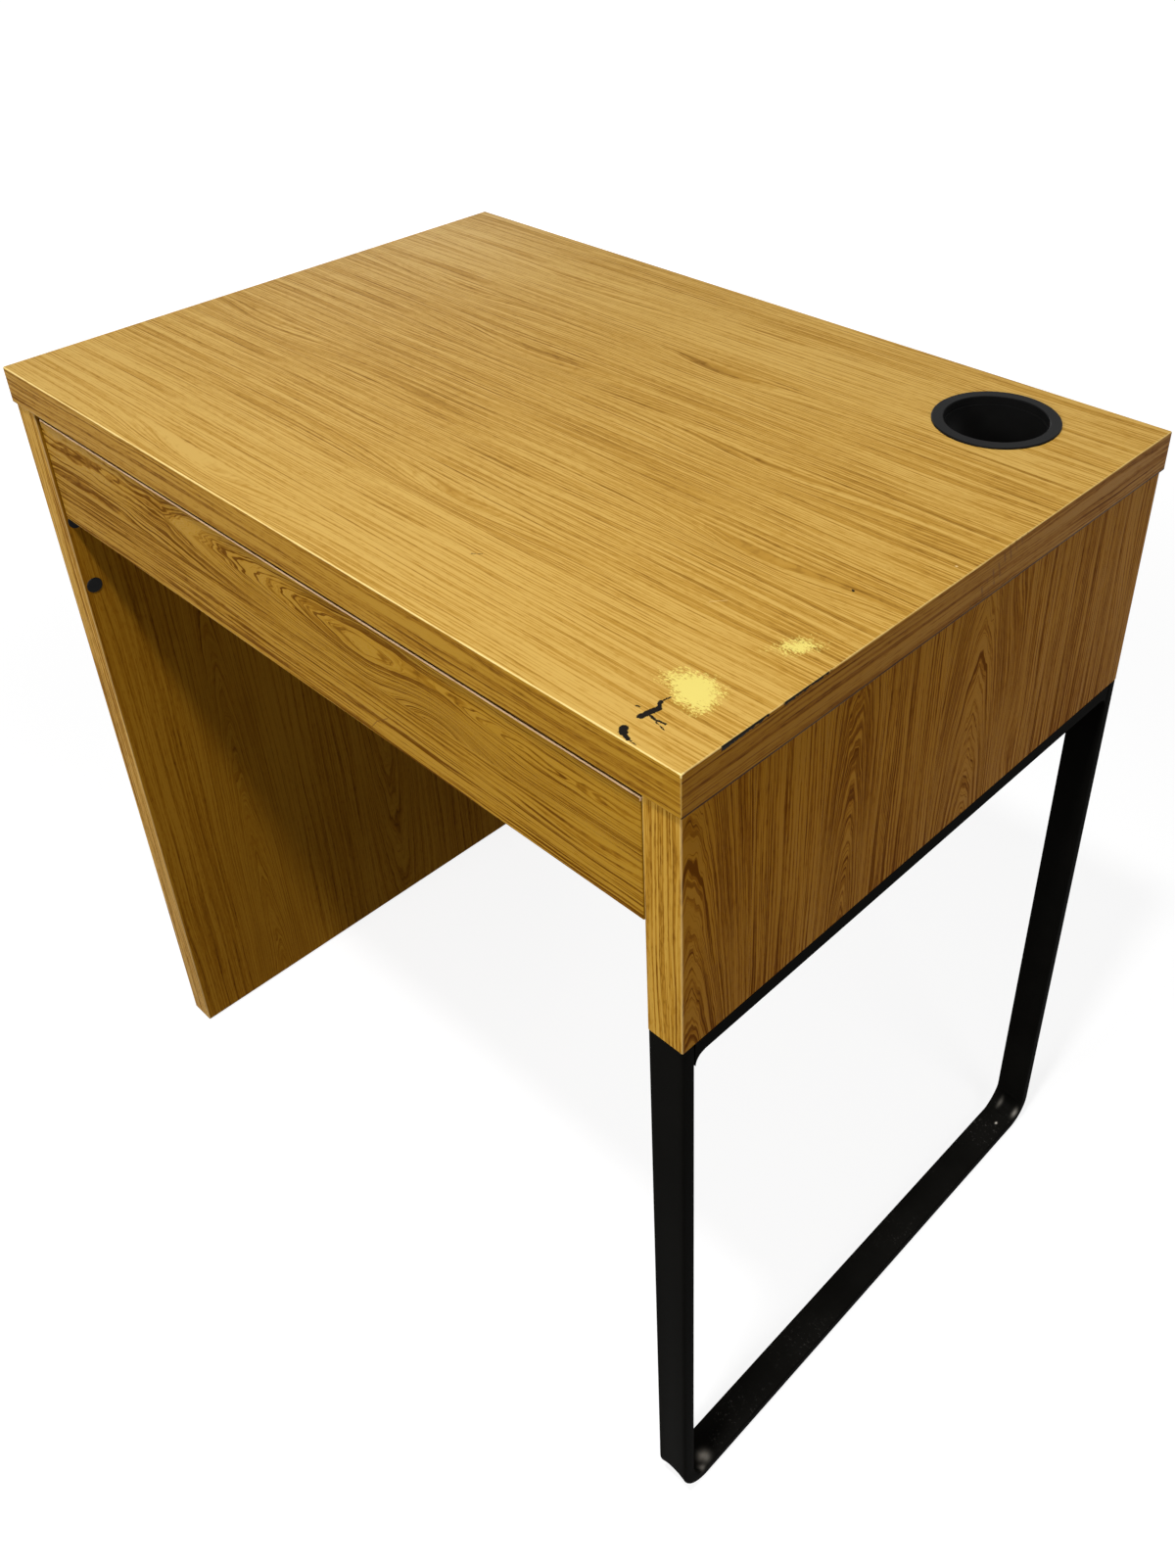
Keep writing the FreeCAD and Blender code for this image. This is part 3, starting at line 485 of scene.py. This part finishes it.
def oak_board(node, seed, grain, planks=PLAIN_PLANKS, eyes=(), style=None, contrast=1.0, tint=SIDE_TINT,
              edge_tint=SIDE_TINT, end_tint=None, edge_contrast=1.3, arris_wear_and_highlight=OAK_WEAR_AND_HIGHLIGHT, arris_width=1.0,
              arrises=(), sheen=0.02, marks=None):
    """Wood foil on a board: printed planks on its two faces and straight grain along its edges."""
    graph = Graph("oak_" + node)
    low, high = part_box(node)
    size = high - low
    thin = min(range(3), key=lambda axis: size[axis])
    along = AXES.index(grain)
    across = 3 - thin - along
    place = graph.place
    face = graph.facing[thin].size().rise(*FACE_TURN)
    end = graph.facing[along].size().rise(*FACE_TURN)
    face_style = {**PLAIN_STYLE, **(style or {})}
    face_shade = wood_shade(graph, place[along], place[across], seed, planks, eyes, contrast, **face_style)
    edge_along = graph.blend(end, place[along], place[across])
    edge_shade = wood_shade(graph, edge_along, place[thin], seed + EDGE_SEED, PLAIN_PLANKS, (), edge_contrast,
                            **EDGE_STYLE)
    # most tints of edges and faces are painted light and shade: lit and shaded copies of one foil
    edge_colour = oak_colour(graph, edge_shade, edge_tint)
    if end_tint:
        edge_colour = graph.blend(end, edge_colour, oak_colour(graph, edge_shade, end_tint))
    colour = graph.blend(face, edge_colour, oak_colour(graph, face_shade, tint))
    shade = graph.blend(face, edge_shade, face_shade)
    if arrises:
        # pale arrises: partly wear, partly a painted highlight
        colour = graph.blend(arris_share(graph, low, high, arris_width, arrises), colour, arris_wear_and_highlight)
    if marks:
        colour = marks(graph, colour)
    roughness = FOIL_ROUGHNESS + DARK_ROUGHNESS * shade
    return graph.surface(colour, roughness, shade, -LINE_DEPTH, Specular_IOR_Level=sheen)


def segment_reach(u, v, start, stop):
    """Distance from a straight stroke between two places in millimetres."""
    first = [part * MM for part in start]
    step = [(b - a) * MM for a, b in zip(start, stop)]
    length = step[0] ** 2 + step[1] ** 2
    share = (u - first[0]) * (step[0] / length) + (v - first[1]) * (step[1] / length)
    share = share.most(0.0).least(1.0)
    east = u - first[0] - share * step[0]
    north = v - first[1] - share * step[1]
    return (east * east + north * north) ** 0.5


def strokes(graph, u, v, rows, kind):
    """How strong any of the strokes is at a place; their outline is ragged."""
    seed, ragged, strength = kind
    rough = graph.noise(u * STROKE_CELLS, v * STROKE_CELLS, seed, STROKE_DETAIL, STROKE_ROUGHNESS)
    rough = (rough - 0.5) * (ragged * MM)
    inside = None
    for start, stop, width in rows:
        reach = segment_reach(u, v, start, stop) + rough
        one = reach.rise((width + STROKE_BLUR) * MM, (width - STROKE_BLUR) * MM)
        inside = one if inside is None else inside.most(one)
    return inside * strength


def rubbed_spot(graph, u, v, middle, half, turn, strength, seed):
    """How far the print is rubbed off in a spot: in specks at the rim, and whole in the middle of a strong
    one."""
    angle = math.radians(turn)
    east = u - middle[0] * MM
    north = v - middle[1] * MM
    first = (east * math.cos(angle) + north * math.sin(angle)) / (half[0] * MM)
    second = (north * math.cos(angle) - east * math.sin(angle)) / (half[1] * MM)
    reach = (first * first + second * second) ** 0.5
    cells_u, cells_v, speck_weight = SPECKS
    specks = graph.noise(u * cells_u, v * cells_v, seed, SPECK_DETAIL, SPECK_ROUGHNESS) - 0.5
    cells_u, cells_v, cloud_weight = CLOUDS
    clouds = graph.noise(u * cells_u, v * cells_v, seed + CLOUD_SEED) - 0.5
    return (strength - reach + specks * speck_weight + clouds * cloud_weight).rise(*RUBBED_RANGE)


def rim_chips(graph, top):
    """Where the upper rim of the top's right edge is chipped, one field for each chip."""
    y, z = graph.place[1:]
    jagged = graph.noise(y * RIM_CELLS[0], z * RIM_CELLS[1], RIM_SEED, RIM_DETAIL) - 0.5
    chips = []
    for start, stop, height in RIM_CHIPS:
        reach = (y - start * MM) / ((stop - start) * MM) + jagged * RIM_RAGGED_ENDS
        tall = (1.0 - reach * RIM_TAPER) * (height * MM)
        ends = reach.rise(*RIM_START) * reach.rise(*RIM_STOP)
        chips.append(ends * (top - z + jagged * RIM_RAGGED_HEIGHT - tall).rise(RIM_BLUR, -RIM_BLUR))
    return chips


def edge_scrapes(graph, top):
    """Slanted scrapes in a leaning band of the top's right edge."""
    y, z = graph.place[1:]
    rows = ((y + z * SCRAPE_SLANT) / SCRAPE_SPACING).part()
    lean = y - (z - top + BAND_DROP) * BAND_SLANT
    scrape = rows.rise(*SCRAPE_START) * rows.rise(*SCRAPE_STOP)
    scrape = scrape * lean.rise(*BAND_START) * lean.rise(*BAND_STOP)
    faint = graph.noise(y * SCRAPE_CELLS, z * SCRAPE_CELLS, SCRAPE_SEED, SCRAPE_DETAIL)
    return scrape * faint.rise(*SCRAPE_FAINT)


def top_marks(graph, colour):
    """Wear of the top: rubbed spots, black chips, and on its right edge a chipped rim and slanted scrapes;
    and a painted shadow along the right edge's bottom, over the shaded gap to the board below."""
    x, y, z = graph.place
    low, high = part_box("top_panel")
    upper = graph.facing[2].rise(*UPWARD)
    side = graph.facing[0].rise(*RIGHTWARD)
    for number, (middle, half, turn, strength) in enumerate(RUBBED_SPOTS):
        spot = rubbed_spot(graph, x, y, middle, half, turn, strength, RUBBED_SEED + number)
        colour = graph.blend(spot * upper, colour, BARE_CORE)
    colour = graph.blend(strokes(graph, x, y, SCRATCHES, SCRATCH_STROKE) * upper, colour, OAK_WEAR_AND_HIGHLIGHT)
    black = strokes(graph, x, y, CHIPS, CHIP_STROKE) * upper
    for chip in rim_chips(graph, high[2]):
        black = black.most(chip * side)
    colour = graph.blend(black, colour, BLACK_MARK)
    colour = graph.blend(edge_scrapes(graph, high[2]) * side * SCRAPE_STRENGTH, colour, OAK_DARK)
    # painted shadow: a dark line along the bottom of the top's right edge, for the shade of the gap below it
    overhang_shadow = (z - low[2]).rise(*OVERHANG_SHADOW_HEIGHT) * side
    return graph.blend(overhang_shadow * OVERHANG_SHADOW_STRENGTH, colour, SHADE_LINE_COLOUR)


def drawer_marks(graph, colour):
    """A hairline crack at the drawer front's lower edge, and painted shade along its top behind the arris."""
    x, y, z = graph.place
    front = graph.facing[1].rise(*FORWARD)
    colour = graph.blend(strokes(graph, x, z, DRAWER_CRACK, CRACK_STROKE) * front, colour, OAK_DARK)
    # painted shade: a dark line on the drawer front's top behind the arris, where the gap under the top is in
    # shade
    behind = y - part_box("drawer_front")[0][1]
    gap_shade = behind.rise(*GAP_SHADE_START) * behind.rise(*GAP_SHADE_STOP) * graph.facing[2].rise(*UPWARD)
    return graph.blend(gap_shade * GAP_SHADE_STRENGTH, colour, SHADE_LINE_COLOUR)


# Printed planks, and eyes in their rings as
# (place along, place across, half length, half width, bulge, lowest place across), in millimetres
TOP_PLANKS = [
    plank(-250, -0.12), plank(-160, 0.01), plank(-28, 0.05),
    plank(60, 0.02), plank(132, -0.10), plank(212, 0.0),
]
TOP_EYES = [
    (60, -148, 80, 9, 9, None), (-290, -62, 90, 14, 12, None), (262, -72, 70, 9, 9, None),
    (70, 114, 80, 10, 11, None), (-100, -236, 100, 10, 11, None), (-180, 170, 120, 10, 8, None),
    (-60, 40, 110, 12, 10, None), (190, 20, 90, 10, 9, None), (-230, 96, 100, 11, 10, None),
]
RIGHT_PLANKS = [
    plank(-248, 0.02, heart=-240, turn=800, span=-280, rise=84, reach=36), plank(-190, -0.02),
    plank(-128, 0.02, heart=-102, turn=720, span=-190, rise=50, reach=18), plank(-72, 0.05),
    plank(-8, 0.0, heart=32, turn=770, span=-260, rise=96, reach=42), plank(118, -0.02), plank(144, 0.07),
    plank(188, -0.02),
]
RIGHT_EYES = [(716, 66, 44, 12, 13, None), (560, 80, 40, 12, 14, None), (700, 214, 90, 14, 9, None)]
LEFT_PLANKS = [
    plank(-248, 0.0), plank(-190, 0.03, heart=-150, turn=760, span=-760, rise=120), plank(-100, -0.03),
    plank(-20, 0.04, heart=20, turn=0, span=760, rise=100), plank(75, 0.0), plank(160, 0.04),
]
LEFT_EYES = [(480, -35, 190, 15, 12, None)]
DRAWER_PLANKS = [plank(623, 0.04), plank(667, 0.0, heart=697, turn=-150, span=240, rise=62, reach=27)]
DRAWER_EYES = [(158, 664, 40, 24, 66, 667), (-260, 676, 110, 11, 9, None), (300, 650, 80, 9, 7, None)]
INNER_PLANKS = [plank(-1000, 0.0), plank(0, 0.03)]
# Arrises that catch the light, by the two faces that meet there, and how much
TOP_ARRISES = [("-y+z", 0.9), ("+x+z", 0.45), ("+x-y", 0.25), ("-x+z", 0.15)]
POST_ARRISES = [("+x-y", 0.30), ("-x-y", 0.25)]
DRAWER_ARRISES = [("-y+z", 1.0)]
BOX_FINISH = dict(contrast=0.7, tint=BOX_TINT, edge_tint=BOX_TINT)
BOARDS = {
    "top_panel": dict(
        grain="x", planks=TOP_PLANKS, eyes=TOP_EYES,
        style=dict(wander=0.6, spacing=0.8, figure=0.9, lines=1.6, broad=0.45),
        contrast=1.15, tint=TOP_TINT, edge_tint=FRONT_TINT, end_tint=TOP_END_TINT, edge_contrast=1.9,
        arris_wear_and_highlight=TOP_ARRIS_WEAR_AND_HIGHLIGHT, arris_width=0.75, arrises=TOP_ARRISES, sheen=0.038, marks=top_marks),
    "left_side_panel": dict(
        grain="z", planks=LEFT_PLANKS, eyes=LEFT_EYES, style=dict(rings=10, figure=1.8),
        contrast=1.4, edge_tint=POST_TINT, edge_contrast=2.2, arrises=POST_ARRISES),
    "right_side_board": dict(
        grain="z", planks=RIGHT_PLANKS, eyes=RIGHT_EYES,
        style=dict(rings=12, spacing=0.95, figure=1.4, lines=1.8, broad=0.9),
        contrast=1.9, tint=RIGHT_TINT, edge_tint=POST_TINT, edge_contrast=2.0, arrises=POST_ARRISES,
        sheen=0.015),
    "divider_panel": dict(grain="x", planks=INNER_PLANKS),
    "compartment_floor": dict(grain="x", planks=INNER_PLANKS),
    "rear_panel": dict(grain="x", planks=INNER_PLANKS),
    "drawer_front": dict(
        grain="x", planks=DRAWER_PLANKS, eyes=DRAWER_EYES,
        style=dict(rings=12, spacing=1.15, figure=1.7, lines=2.6),
        contrast=1.85, tint=FRONT_TINT, edge_tint=FRONT_TINT,
        arris_wear_and_highlight=DRAWER_ARRIS_HIGHLIGHT, arris_width=0.85, arrises=DRAWER_ARRISES, marks=drawer_marks),
    "drawer_left_side": dict(grain="y", **BOX_FINISH),
    "drawer_right_side": dict(grain="y", **BOX_FINISH),
    "drawer_back": dict(grain="x", **BOX_FINISH),
}


def finish_boards():
    """Wood foil on every board of the carcass and the drawer."""
    for number, (node, choices) in enumerate(BOARDS.items(), 1):
        paint(oak_board(node, float(number), **choices), node)


# Hardboard: stops of its ramp, cells per metre of its mottle and clouds, share of the mottle, and relief
HARDBOARD_STOPS = [(0.2, (0.20, 0.115, 0.05)), (0.8, (0.42, 0.28, 0.14))]
MOTTLE_CELLS = 160
MOTTLE_SHARE = 0.6
HARDBOARD_CLOUD_CELLS = 9
HARDBOARD_ROUGHNESS = 0.7
HARDBOARD_RELIEF = 0.08 * MM
# Powder coat: its orange peel, its clouds, the dust on it, and how each one pales or dulls it, and the
# cloud range that breaks up the painted glints
PEEL_CELLS = 1100
PEEL_RELIEF = 0.02 * MM
COAT_CLOUD_CELLS = 14
DUST_CELLS = 420
DUST_UPWARD = (0.2, 0.9)
DUST_GRAINS = (0.58, 0.72)
DUST_PATCHES = (0.42, 0.62)
DUST_PALE = 0.6
CLOUD_PALE = 0.06
CLOUD_PALE_UPWARD = 0.05
CLOUD_DULL = 0.18
DUST_DULL = 0.2
GLINT_PATCHES = (0.25, 0.55)
# Moulded plastic: its grain, its clouds, and how each one pales or dulls it
MOULD_CELLS = 1500
MOULD_RELIEF = 0.03 * MM
MOULD_CLOUD_CELLS = 30
MOULD_PATCHES = (0.45, 0.8)
MOULD_CLOUD_PALE = 0.35
MOULD_GRAIN_PALE = 0.15
MOULD_CLOUD_DULL = 0.15
# Zinc plate: colours, its clouds, and its drawn marks in cells per metre along X, Y and Z
ZINC_DARK = (0.48, 0.47, 0.44)
ZINC_PALE = (0.68, 0.68, 0.66)
ZINC_CLOUD_CELLS = 80
ZINC_MARKS = (900, 900, 2500)
ZINC_ROUGHNESS = 0.28
ZINC_MARKS_DULL = 0.2
ZINC_RELIEF = 0.01 * MM
# Beech: colours, and its flecks in cells per metre along X, Y and Z
BEECH_DARK = (0.56, 0.36, 0.18)
BEECH_PALE = (0.74, 0.54, 0.32)
BEECH_FLECKS = (700, 300, 700)
BEECH_ROUGHNESS = 0.65
BEECH_RELIEF = 0.05 * MM


def hardboard():
    """Brown pressed fibre with a mottled face."""
    graph = Graph("hardboard")
    mottle = graph.solid_noise(MOTTLE_CELLS, detail=5.0, roughness=0.7)
    cloud = graph.solid_noise(HARDBOARD_CLOUD_CELLS, detail=3.0)
    colour = graph.ramp(mottle * MOTTLE_SHARE + cloud * (1 - MOTTLE_SHARE), HARDBOARD_STOPS)
    return graph.surface(colour, HARDBOARD_ROUGHNESS, mottle, HARDBOARD_RELIEF)


def coated_steel(name, base, pale, shine, sheen, rubbed=()):
    """Powder coat: fine orange peel, dust on what faces up, and painted glints, pale spots in place of
    highlights.
    """
    graph = Graph(name)
    peel = graph.solid_noise(PEEL_CELLS)
    cloud = graph.solid_noise(COAT_CLOUD_CELLS, detail=4.0, roughness=0.6)
    upward = graph.facing[2].rise(*DUST_UPWARD)
    dust = graph.solid_noise(DUST_CELLS, detail=3.0, roughness=0.7).rise(*DUST_GRAINS)
    dust = dust * cloud.rise(*DUST_PATCHES) * upward
    paled = dust * DUST_PALE + cloud * (CLOUD_PALE + CLOUD_PALE_UPWARD * upward)
    colour = graph.blend(paled, base, pale)
    # painted glints: the spots given as rubbed are pale spots in place of highlights on the bends
    for middle, half, strength in rubbed:
        parts = [(place - spot * MM) / (size * MM) for place, spot, size in zip(graph.place, middle, half)]
        reach = parts[0] * parts[0] + parts[1] * parts[1] + parts[2] * parts[2]
        glint = graph.math("EXPONENT", reach * -1.0) * cloud.rise(*GLINT_PATCHES) * strength
        colour = graph.blend(glint, colour, PAINTED_GLINT)
    roughness = shine + CLOUD_DULL * (cloud - 0.5) + DUST_DULL * dust
    return graph.surface(colour, roughness, peel, PEEL_RELIEF, Specular_IOR_Level=sheen)


def moulded_plastic(name, base, pale, shine, sheen):
    """Moulded plastic with a fine spark-eroded grain."""
    graph = Graph(name)
    grain = graph.solid_noise(MOULD_CELLS, roughness=0.7)
    cloud = graph.solid_noise(MOULD_CLOUD_CELLS, detail=3.0)
    paled = cloud.rise(*MOULD_PATCHES) * MOULD_CLOUD_PALE + grain * MOULD_GRAIN_PALE
    colour = graph.blend(paled, base, pale)
    roughness = shine + MOULD_CLOUD_DULL * (cloud - 0.5)
    return graph.surface(colour, roughness, grain, MOULD_RELIEF, Specular_IOR_Level=sheen)


def plated_steel():
    """Zinc plate with fine drawn marks."""
    graph = Graph("plated_steel")
    scaled = [place * cells for place, cells in zip(graph.place, ZINC_MARKS)]
    marks = graph.noise(*scaled)
    cloud = graph.solid_noise(ZINC_CLOUD_CELLS, detail=3.0)
    colour = graph.blend(cloud, ZINC_DARK, ZINC_PALE)
    roughness = ZINC_ROUGHNESS + ZINC_MARKS_DULL * marks
    return graph.surface(colour, roughness, marks, ZINC_RELIEF, Metallic=1.0)


def beech():
    """Raw fluted beech of the dowels."""
    graph = Graph("beech")
    scaled = [place * cells for place, cells in zip(graph.place, BEECH_FLECKS)]
    fleck = graph.noise(*scaled, detail=3.0)
    colour = graph.blend(fleck, BEECH_DARK, BEECH_PALE)
    return graph.surface(colour, BEECH_ROUGHNESS, fleck, BEECH_RELIEF)


# Coats and plastics as (base colour, pale colour, roughness, sheen)
LEG_COAT = ((0.0022, 0.0021, 0.0017), (0.10, 0.095, 0.085), 0.50, 0.002)
RUNNER_COAT = ((0.72, 0.72, 0.70), (0.80, 0.80, 0.78), 0.42, 0.4)
OUTLET_PLASTIC = ((0.004, 0.004, 0.004), (0.010, 0.010, 0.009), 0.50, 0.06)
BLACK_PLASTIC = ((0.004, 0.004, 0.004), (0.012, 0.012, 0.012), 0.5, 0.1)
GLIDE_PLASTIC = ((0.24, 0.17, 0.10), (0.34, 0.26, 0.17), 0.5, 0.3)
ROLLER_NYLON = ((0.74, 0.74, 0.70), (0.82, 0.82, 0.79), 0.36, 0.4)
RUNNERS = ["left_cabinet_runner", "right_cabinet_runner", "left_drawer_runner", "right_drawer_runner"]
ROLLERS = ["left_front_roller", "right_front_roller", "left_rear_roller", "right_rear_roller"]
PLATED_FITTINGS = [
    "leg_bolts", "leg_bolt_inserts", "carcass_cam_locks", "carcass_cam_bolts",
    "cabinet_runner_screws", "cabinet_roller_pins", "drawer_cam_locks", "drawer_cam_bolts",
    "drawer_back_screws", "drawer_runner_screws", "drawer_roller_pins",
]


def finish_fittings():
    """Finishes of everything that isn't board. Gives back the leg's own."""
    black_steel = coated_steel("black_powder_coat", *LEG_COAT, LEG_GLINTS)
    paint(black_steel, "leg_frame", "leg_top_bar")
    paint(moulded_plastic("outlet_plastic", *OUTLET_PLASTIC), "cable_outlet")
    paint(moulded_plastic("black_plastic", *BLACK_PLASTIC), "hole_caps", "leg_pads")
    paint(moulded_plastic("glide_plastic", *GLIDE_PLASTIC), "panel_glides")
    paint(coated_steel("runner_coat", *RUNNER_COAT), *RUNNERS)
    paint(moulded_plastic("roller_nylon", *ROLLER_NYLON), *ROLLERS)
    paint(plated_steel(), *PLATED_FITTINGS)
    paint(beech(), "carcass_dowels", "drawer_dowels")
    paint(hardboard(), "drawer_bottom")
    return black_steel


# Leg frame: flat tube bent into a U, its walls pushed in at the two bends
TUBE_DEPTH = 11 * MM
TUBE_CORNER = 2 * MM
CORNER_STEPS = 4
WALL_STEPS = 12
BEND_RADIUS = 30 * MM
BEND_STEPS = 40
WALL_SINK = 2.6 * MM
SINK_POWER = 1.2
WALL_DENT = 2.6 * MM
DENT_POWER = 0.7
DENT_SPREAD = 0.20
DENT_RIDGE = 1.0 * MM
RIDGE_SHARES = (0.10, 0.90)
RIDGE_SPREAD = 0.09
SIDE_BULGE = 0.5 * MM
SHARP_ANGLE = 35


def tube_outline(width):
    """Points of the tube's section: across the frame, then outwards, with rounded corners and split walls."""
    half_width = width / 2 - TUBE_CORNER
    half_depth = TUBE_DEPTH / 2 - TUBE_CORNER
    points = []
    for quarter in range(4):
        start = quarter * math.pi / 2
        middle_x = half_width if quarter in (0, 3) else -half_width
        middle_y = half_depth if quarter in (0, 1) else -half_depth
        for step in range(CORNER_STEPS + 1):
            angle = start + step * math.pi / 2 / CORNER_STEPS
            across = middle_x + TUBE_CORNER * math.cos(angle)
            outward = middle_y + TUBE_CORNER * math.sin(angle)
            points.append((across, outward))
        if quarter in (0, 2):
            way = -1 if quarter == 0 else 1
            for step in range(1, WALL_STEPS):
                across = -way * half_width + way * 2 * half_width * step / WALL_STEPS
                points.append((across, points[-1][1]))
    return points


def bend_section(across, outward, share, half_width):
    """A section's point inside a bend, where the share runs from 0 at its start to 1 at its end."""
    middle = max(0.0, 1 - (across / half_width) ** 2)
    swell = math.sin(math.pi * share)
    if outward > 0:
        outward -= WALL_SINK * swell * middle ** SINK_POWER
    else:
        dent = math.exp(-((share - 0.5) / DENT_SPREAD) ** 2)
        ridges = sum(math.exp(-((share - ridge) / RIDGE_SPREAD) ** 2) for ridge in RIDGE_SHARES)
        outward += (WALL_DENT * dent - DENT_RIDGE * ridges) * middle ** DENT_POWER
    across += math.copysign(SIDE_BULGE * swell * (1 - middle), across)
    return across, outward


def tube_stations(low, high):
    """Places along the tube as (middle, outward direction, share of the bend or None), in Y and Z."""
    centre_radius = BEND_RADIUS - TUBE_DEPTH / 2
    stations = [(Vector((low.y + TUBE_DEPTH / 2, high.z)), Vector((-1, 0)), None)]
    for pivot_y, first in ((low.y + BEND_RADIUS, math.pi), (high.y - BEND_RADIUS, 1.5 * math.pi)):
        pivot = Vector((pivot_y, low.z + BEND_RADIUS))
        for step in range(BEND_STEPS + 1):
            angle = first + step / BEND_STEPS * math.pi / 2
            outward = Vector((math.cos(angle), math.sin(angle)))
            stations.append((pivot + outward * centre_radius, outward, step / BEND_STEPS))
    stations.append((Vector((high.y - TUBE_DEPTH / 2, high.z)), Vector((1, 0)), None))
    return stations


def make_leg_frame(material):
    """The bent tube with the dented bends of the photograph."""
    low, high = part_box("leg_frame")
    width = high.x - low.x
    middle_x = (low.x + high.x) / 2
    outline = tube_outline(width)
    made = bmesh.new()
    rings = []
    for place, outward, share in tube_stations(low, high):
        ring = []
        for across, depth in outline:
            if share is not None:
                across, depth = bend_section(across, depth, share, width / 2 - TUBE_CORNER)
            spot = place + outward * depth
            ring.append(made.verts.new((middle_x + across, spot.x, spot.y)))
        rings.append(ring)
    count = len(outline)
    for ring, following in zip(rings, rings[1:]):
        for index in range(count):
            after = (index + 1) % count
            made.faces.new((ring[index], ring[after], following[after], following[index]))
    made.faces.new(rings[0])
    made.faces.new(rings[-1])
    bmesh.ops.recalc_face_normals(made, faces=made.faces)
    mesh = bpy.data.meshes.new("bent_leg_tube")
    made.to_mesh(mesh)
    made.free()
    mesh.shade_smooth()
    mesh.set_sharp_from_angle(angle=math.radians(SHARP_ANGLE))
    mesh.materials.append(material)
    piece = bpy.data.objects.new("bent_leg_tube", mesh)
    bpy.context.scene.collection.objects.link(piece)
    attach(piece, "desk")
    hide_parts("leg_frame")


def backdrop_rays(tree):
    """1 for rays that show the surroundings: straight from the camera, in a reflection or through glass."""
    path = tree.nodes.new("ShaderNodeLightPath")
    total = path.outputs["Is Camera Ray"]
    for name in ("Is Glossy Ray", "Is Transmission Ray"):
        larger = tree.nodes.new("ShaderNodeMath")
        larger.operation = "MAXIMUM"
        tree.links.new(total, larger.inputs[0])
        tree.links.new(path.outputs[name], larger.inputs[1])
        total = larger.outputs[0]
    return total


def make_floor(scene):
    """A floor that keeps the shadows and turns white away from the desk."""
    mesh = bpy.data.meshes.new("floor")
    corners = [(-FLOOR_REACH, -FLOOR_REACH, 0), (FLOOR_REACH, -FLOOR_REACH, 0),
               (FLOOR_REACH, FLOOR_REACH, 0), (-FLOOR_REACH, FLOOR_REACH, 0)]
    mesh.from_pydata(corners, [], [(0, 1, 2, 3)])
    floor = bpy.data.objects.new("floor", mesh)
    scene.collection.objects.link(floor)
    graph = Graph("floor_white")
    seen = backdrop_rays(graph.tree)
    matt = graph.node("ShaderNodeBsdfDiffuse")
    graph.feed(matt.inputs["Color"], (FLOOR_GREY,) * 3)
    x, y = graph.place[:2]
    away = (x * x + y * y) ** 0.5
    glow = graph.node("ShaderNodeEmission")
    graph.feed(glow.inputs["Strength"], NEAR_GLOW + (1 - NEAR_GLOW) * away.rise(WHITE_FROM, WHITE_AT))
    both = graph.node("ShaderNodeAddShader")
    graph.tree.links.new(matt.outputs[0], both.inputs[0])
    graph.tree.links.new(glow.outputs[0], both.inputs[1])
    choice = graph.node("ShaderNodeMixShader")
    graph.tree.links.new(seen, choice.inputs[0])
    graph.tree.links.new(matt.outputs[0], choice.inputs[1])
    graph.tree.links.new(both.outputs[0], choice.inputs[2])
    output = graph.node("ShaderNodeOutputMaterial")
    graph.tree.links.new(choice.outputs[0], output.inputs[0])
    mesh.materials.append(graph.material)


def make_surroundings(scene):
    """White surroundings that give only a little light."""
    world = bpy.data.worlds.new("studio")
    scene.world = world
    world.use_nodes = True
    tree = world.node_tree
    tree.nodes.clear()
    seen = backdrop_rays(tree)
    strength = tree.nodes.new("ShaderNodeMapRange")
    strength.inputs["To Min"].default_value = AMBIENT
    strength.inputs["To Max"].default_value = 1.0
    tree.links.new(seen, strength.inputs["Value"])
    background = tree.nodes.new("ShaderNodeBackground")
    background.inputs["Color"].default_value = (1, 1, 1, 1)
    tree.links.new(strength.outputs[0], background.inputs["Strength"])
    output = tree.nodes.new("ShaderNodeOutputWorld")
    tree.links.new(background.outputs[0], output.inputs[0])


def make_lamps(scene):
    """Round lamps, each aimed at a point."""
    for name, (place, aim, width, power) in LAMPS.items():
        lamp = bpy.data.lights.new(name, "AREA")
        lamp.shape = "DISK"
        lamp.size = width
        lamp.energy = power
        holder = bpy.data.objects.new(name, lamp)
        holder.location = place
        holder.rotation_euler = (Vector(aim) - Vector(place)).to_track_quat("-Z", "Y").to_euler()
        scene.collection.objects.link(holder)


def make_camera(scene):
    """The photograph's camera."""
    camera = bpy.data.cameras.new("camera")
    camera.sensor_width = SENSOR
    camera.lens = SENSOR * FOCAL_PIXELS / IMAGE_HEIGHT
    camera.shift_x = (IMAGE_WIDTH / 2 - OPTICAL_CENTRE[0]) / IMAGE_HEIGHT
    camera.shift_y = (OPTICAL_CENTRE[1] - IMAGE_HEIGHT / 2) / IMAGE_HEIGHT
    holder = bpy.data.objects.new("camera", camera)
    holder.location = CAMERA_PLACE
    holder.rotation_euler = [math.radians(angle) for angle in CAMERA_TURN]
    scene.collection.objects.link(holder)
    scene.camera = holder


def make_studio():
    """Floor, surroundings, lamps and camera."""
    scene = bpy.context.scene
    scene.view_settings.view_transform = "Standard"
    make_floor(scene)
    make_surroundings(scene)
    make_lamps(scene)
    make_camera(scene)


finish_boards()
make_leg_frame(finish_fittings())
make_studio()
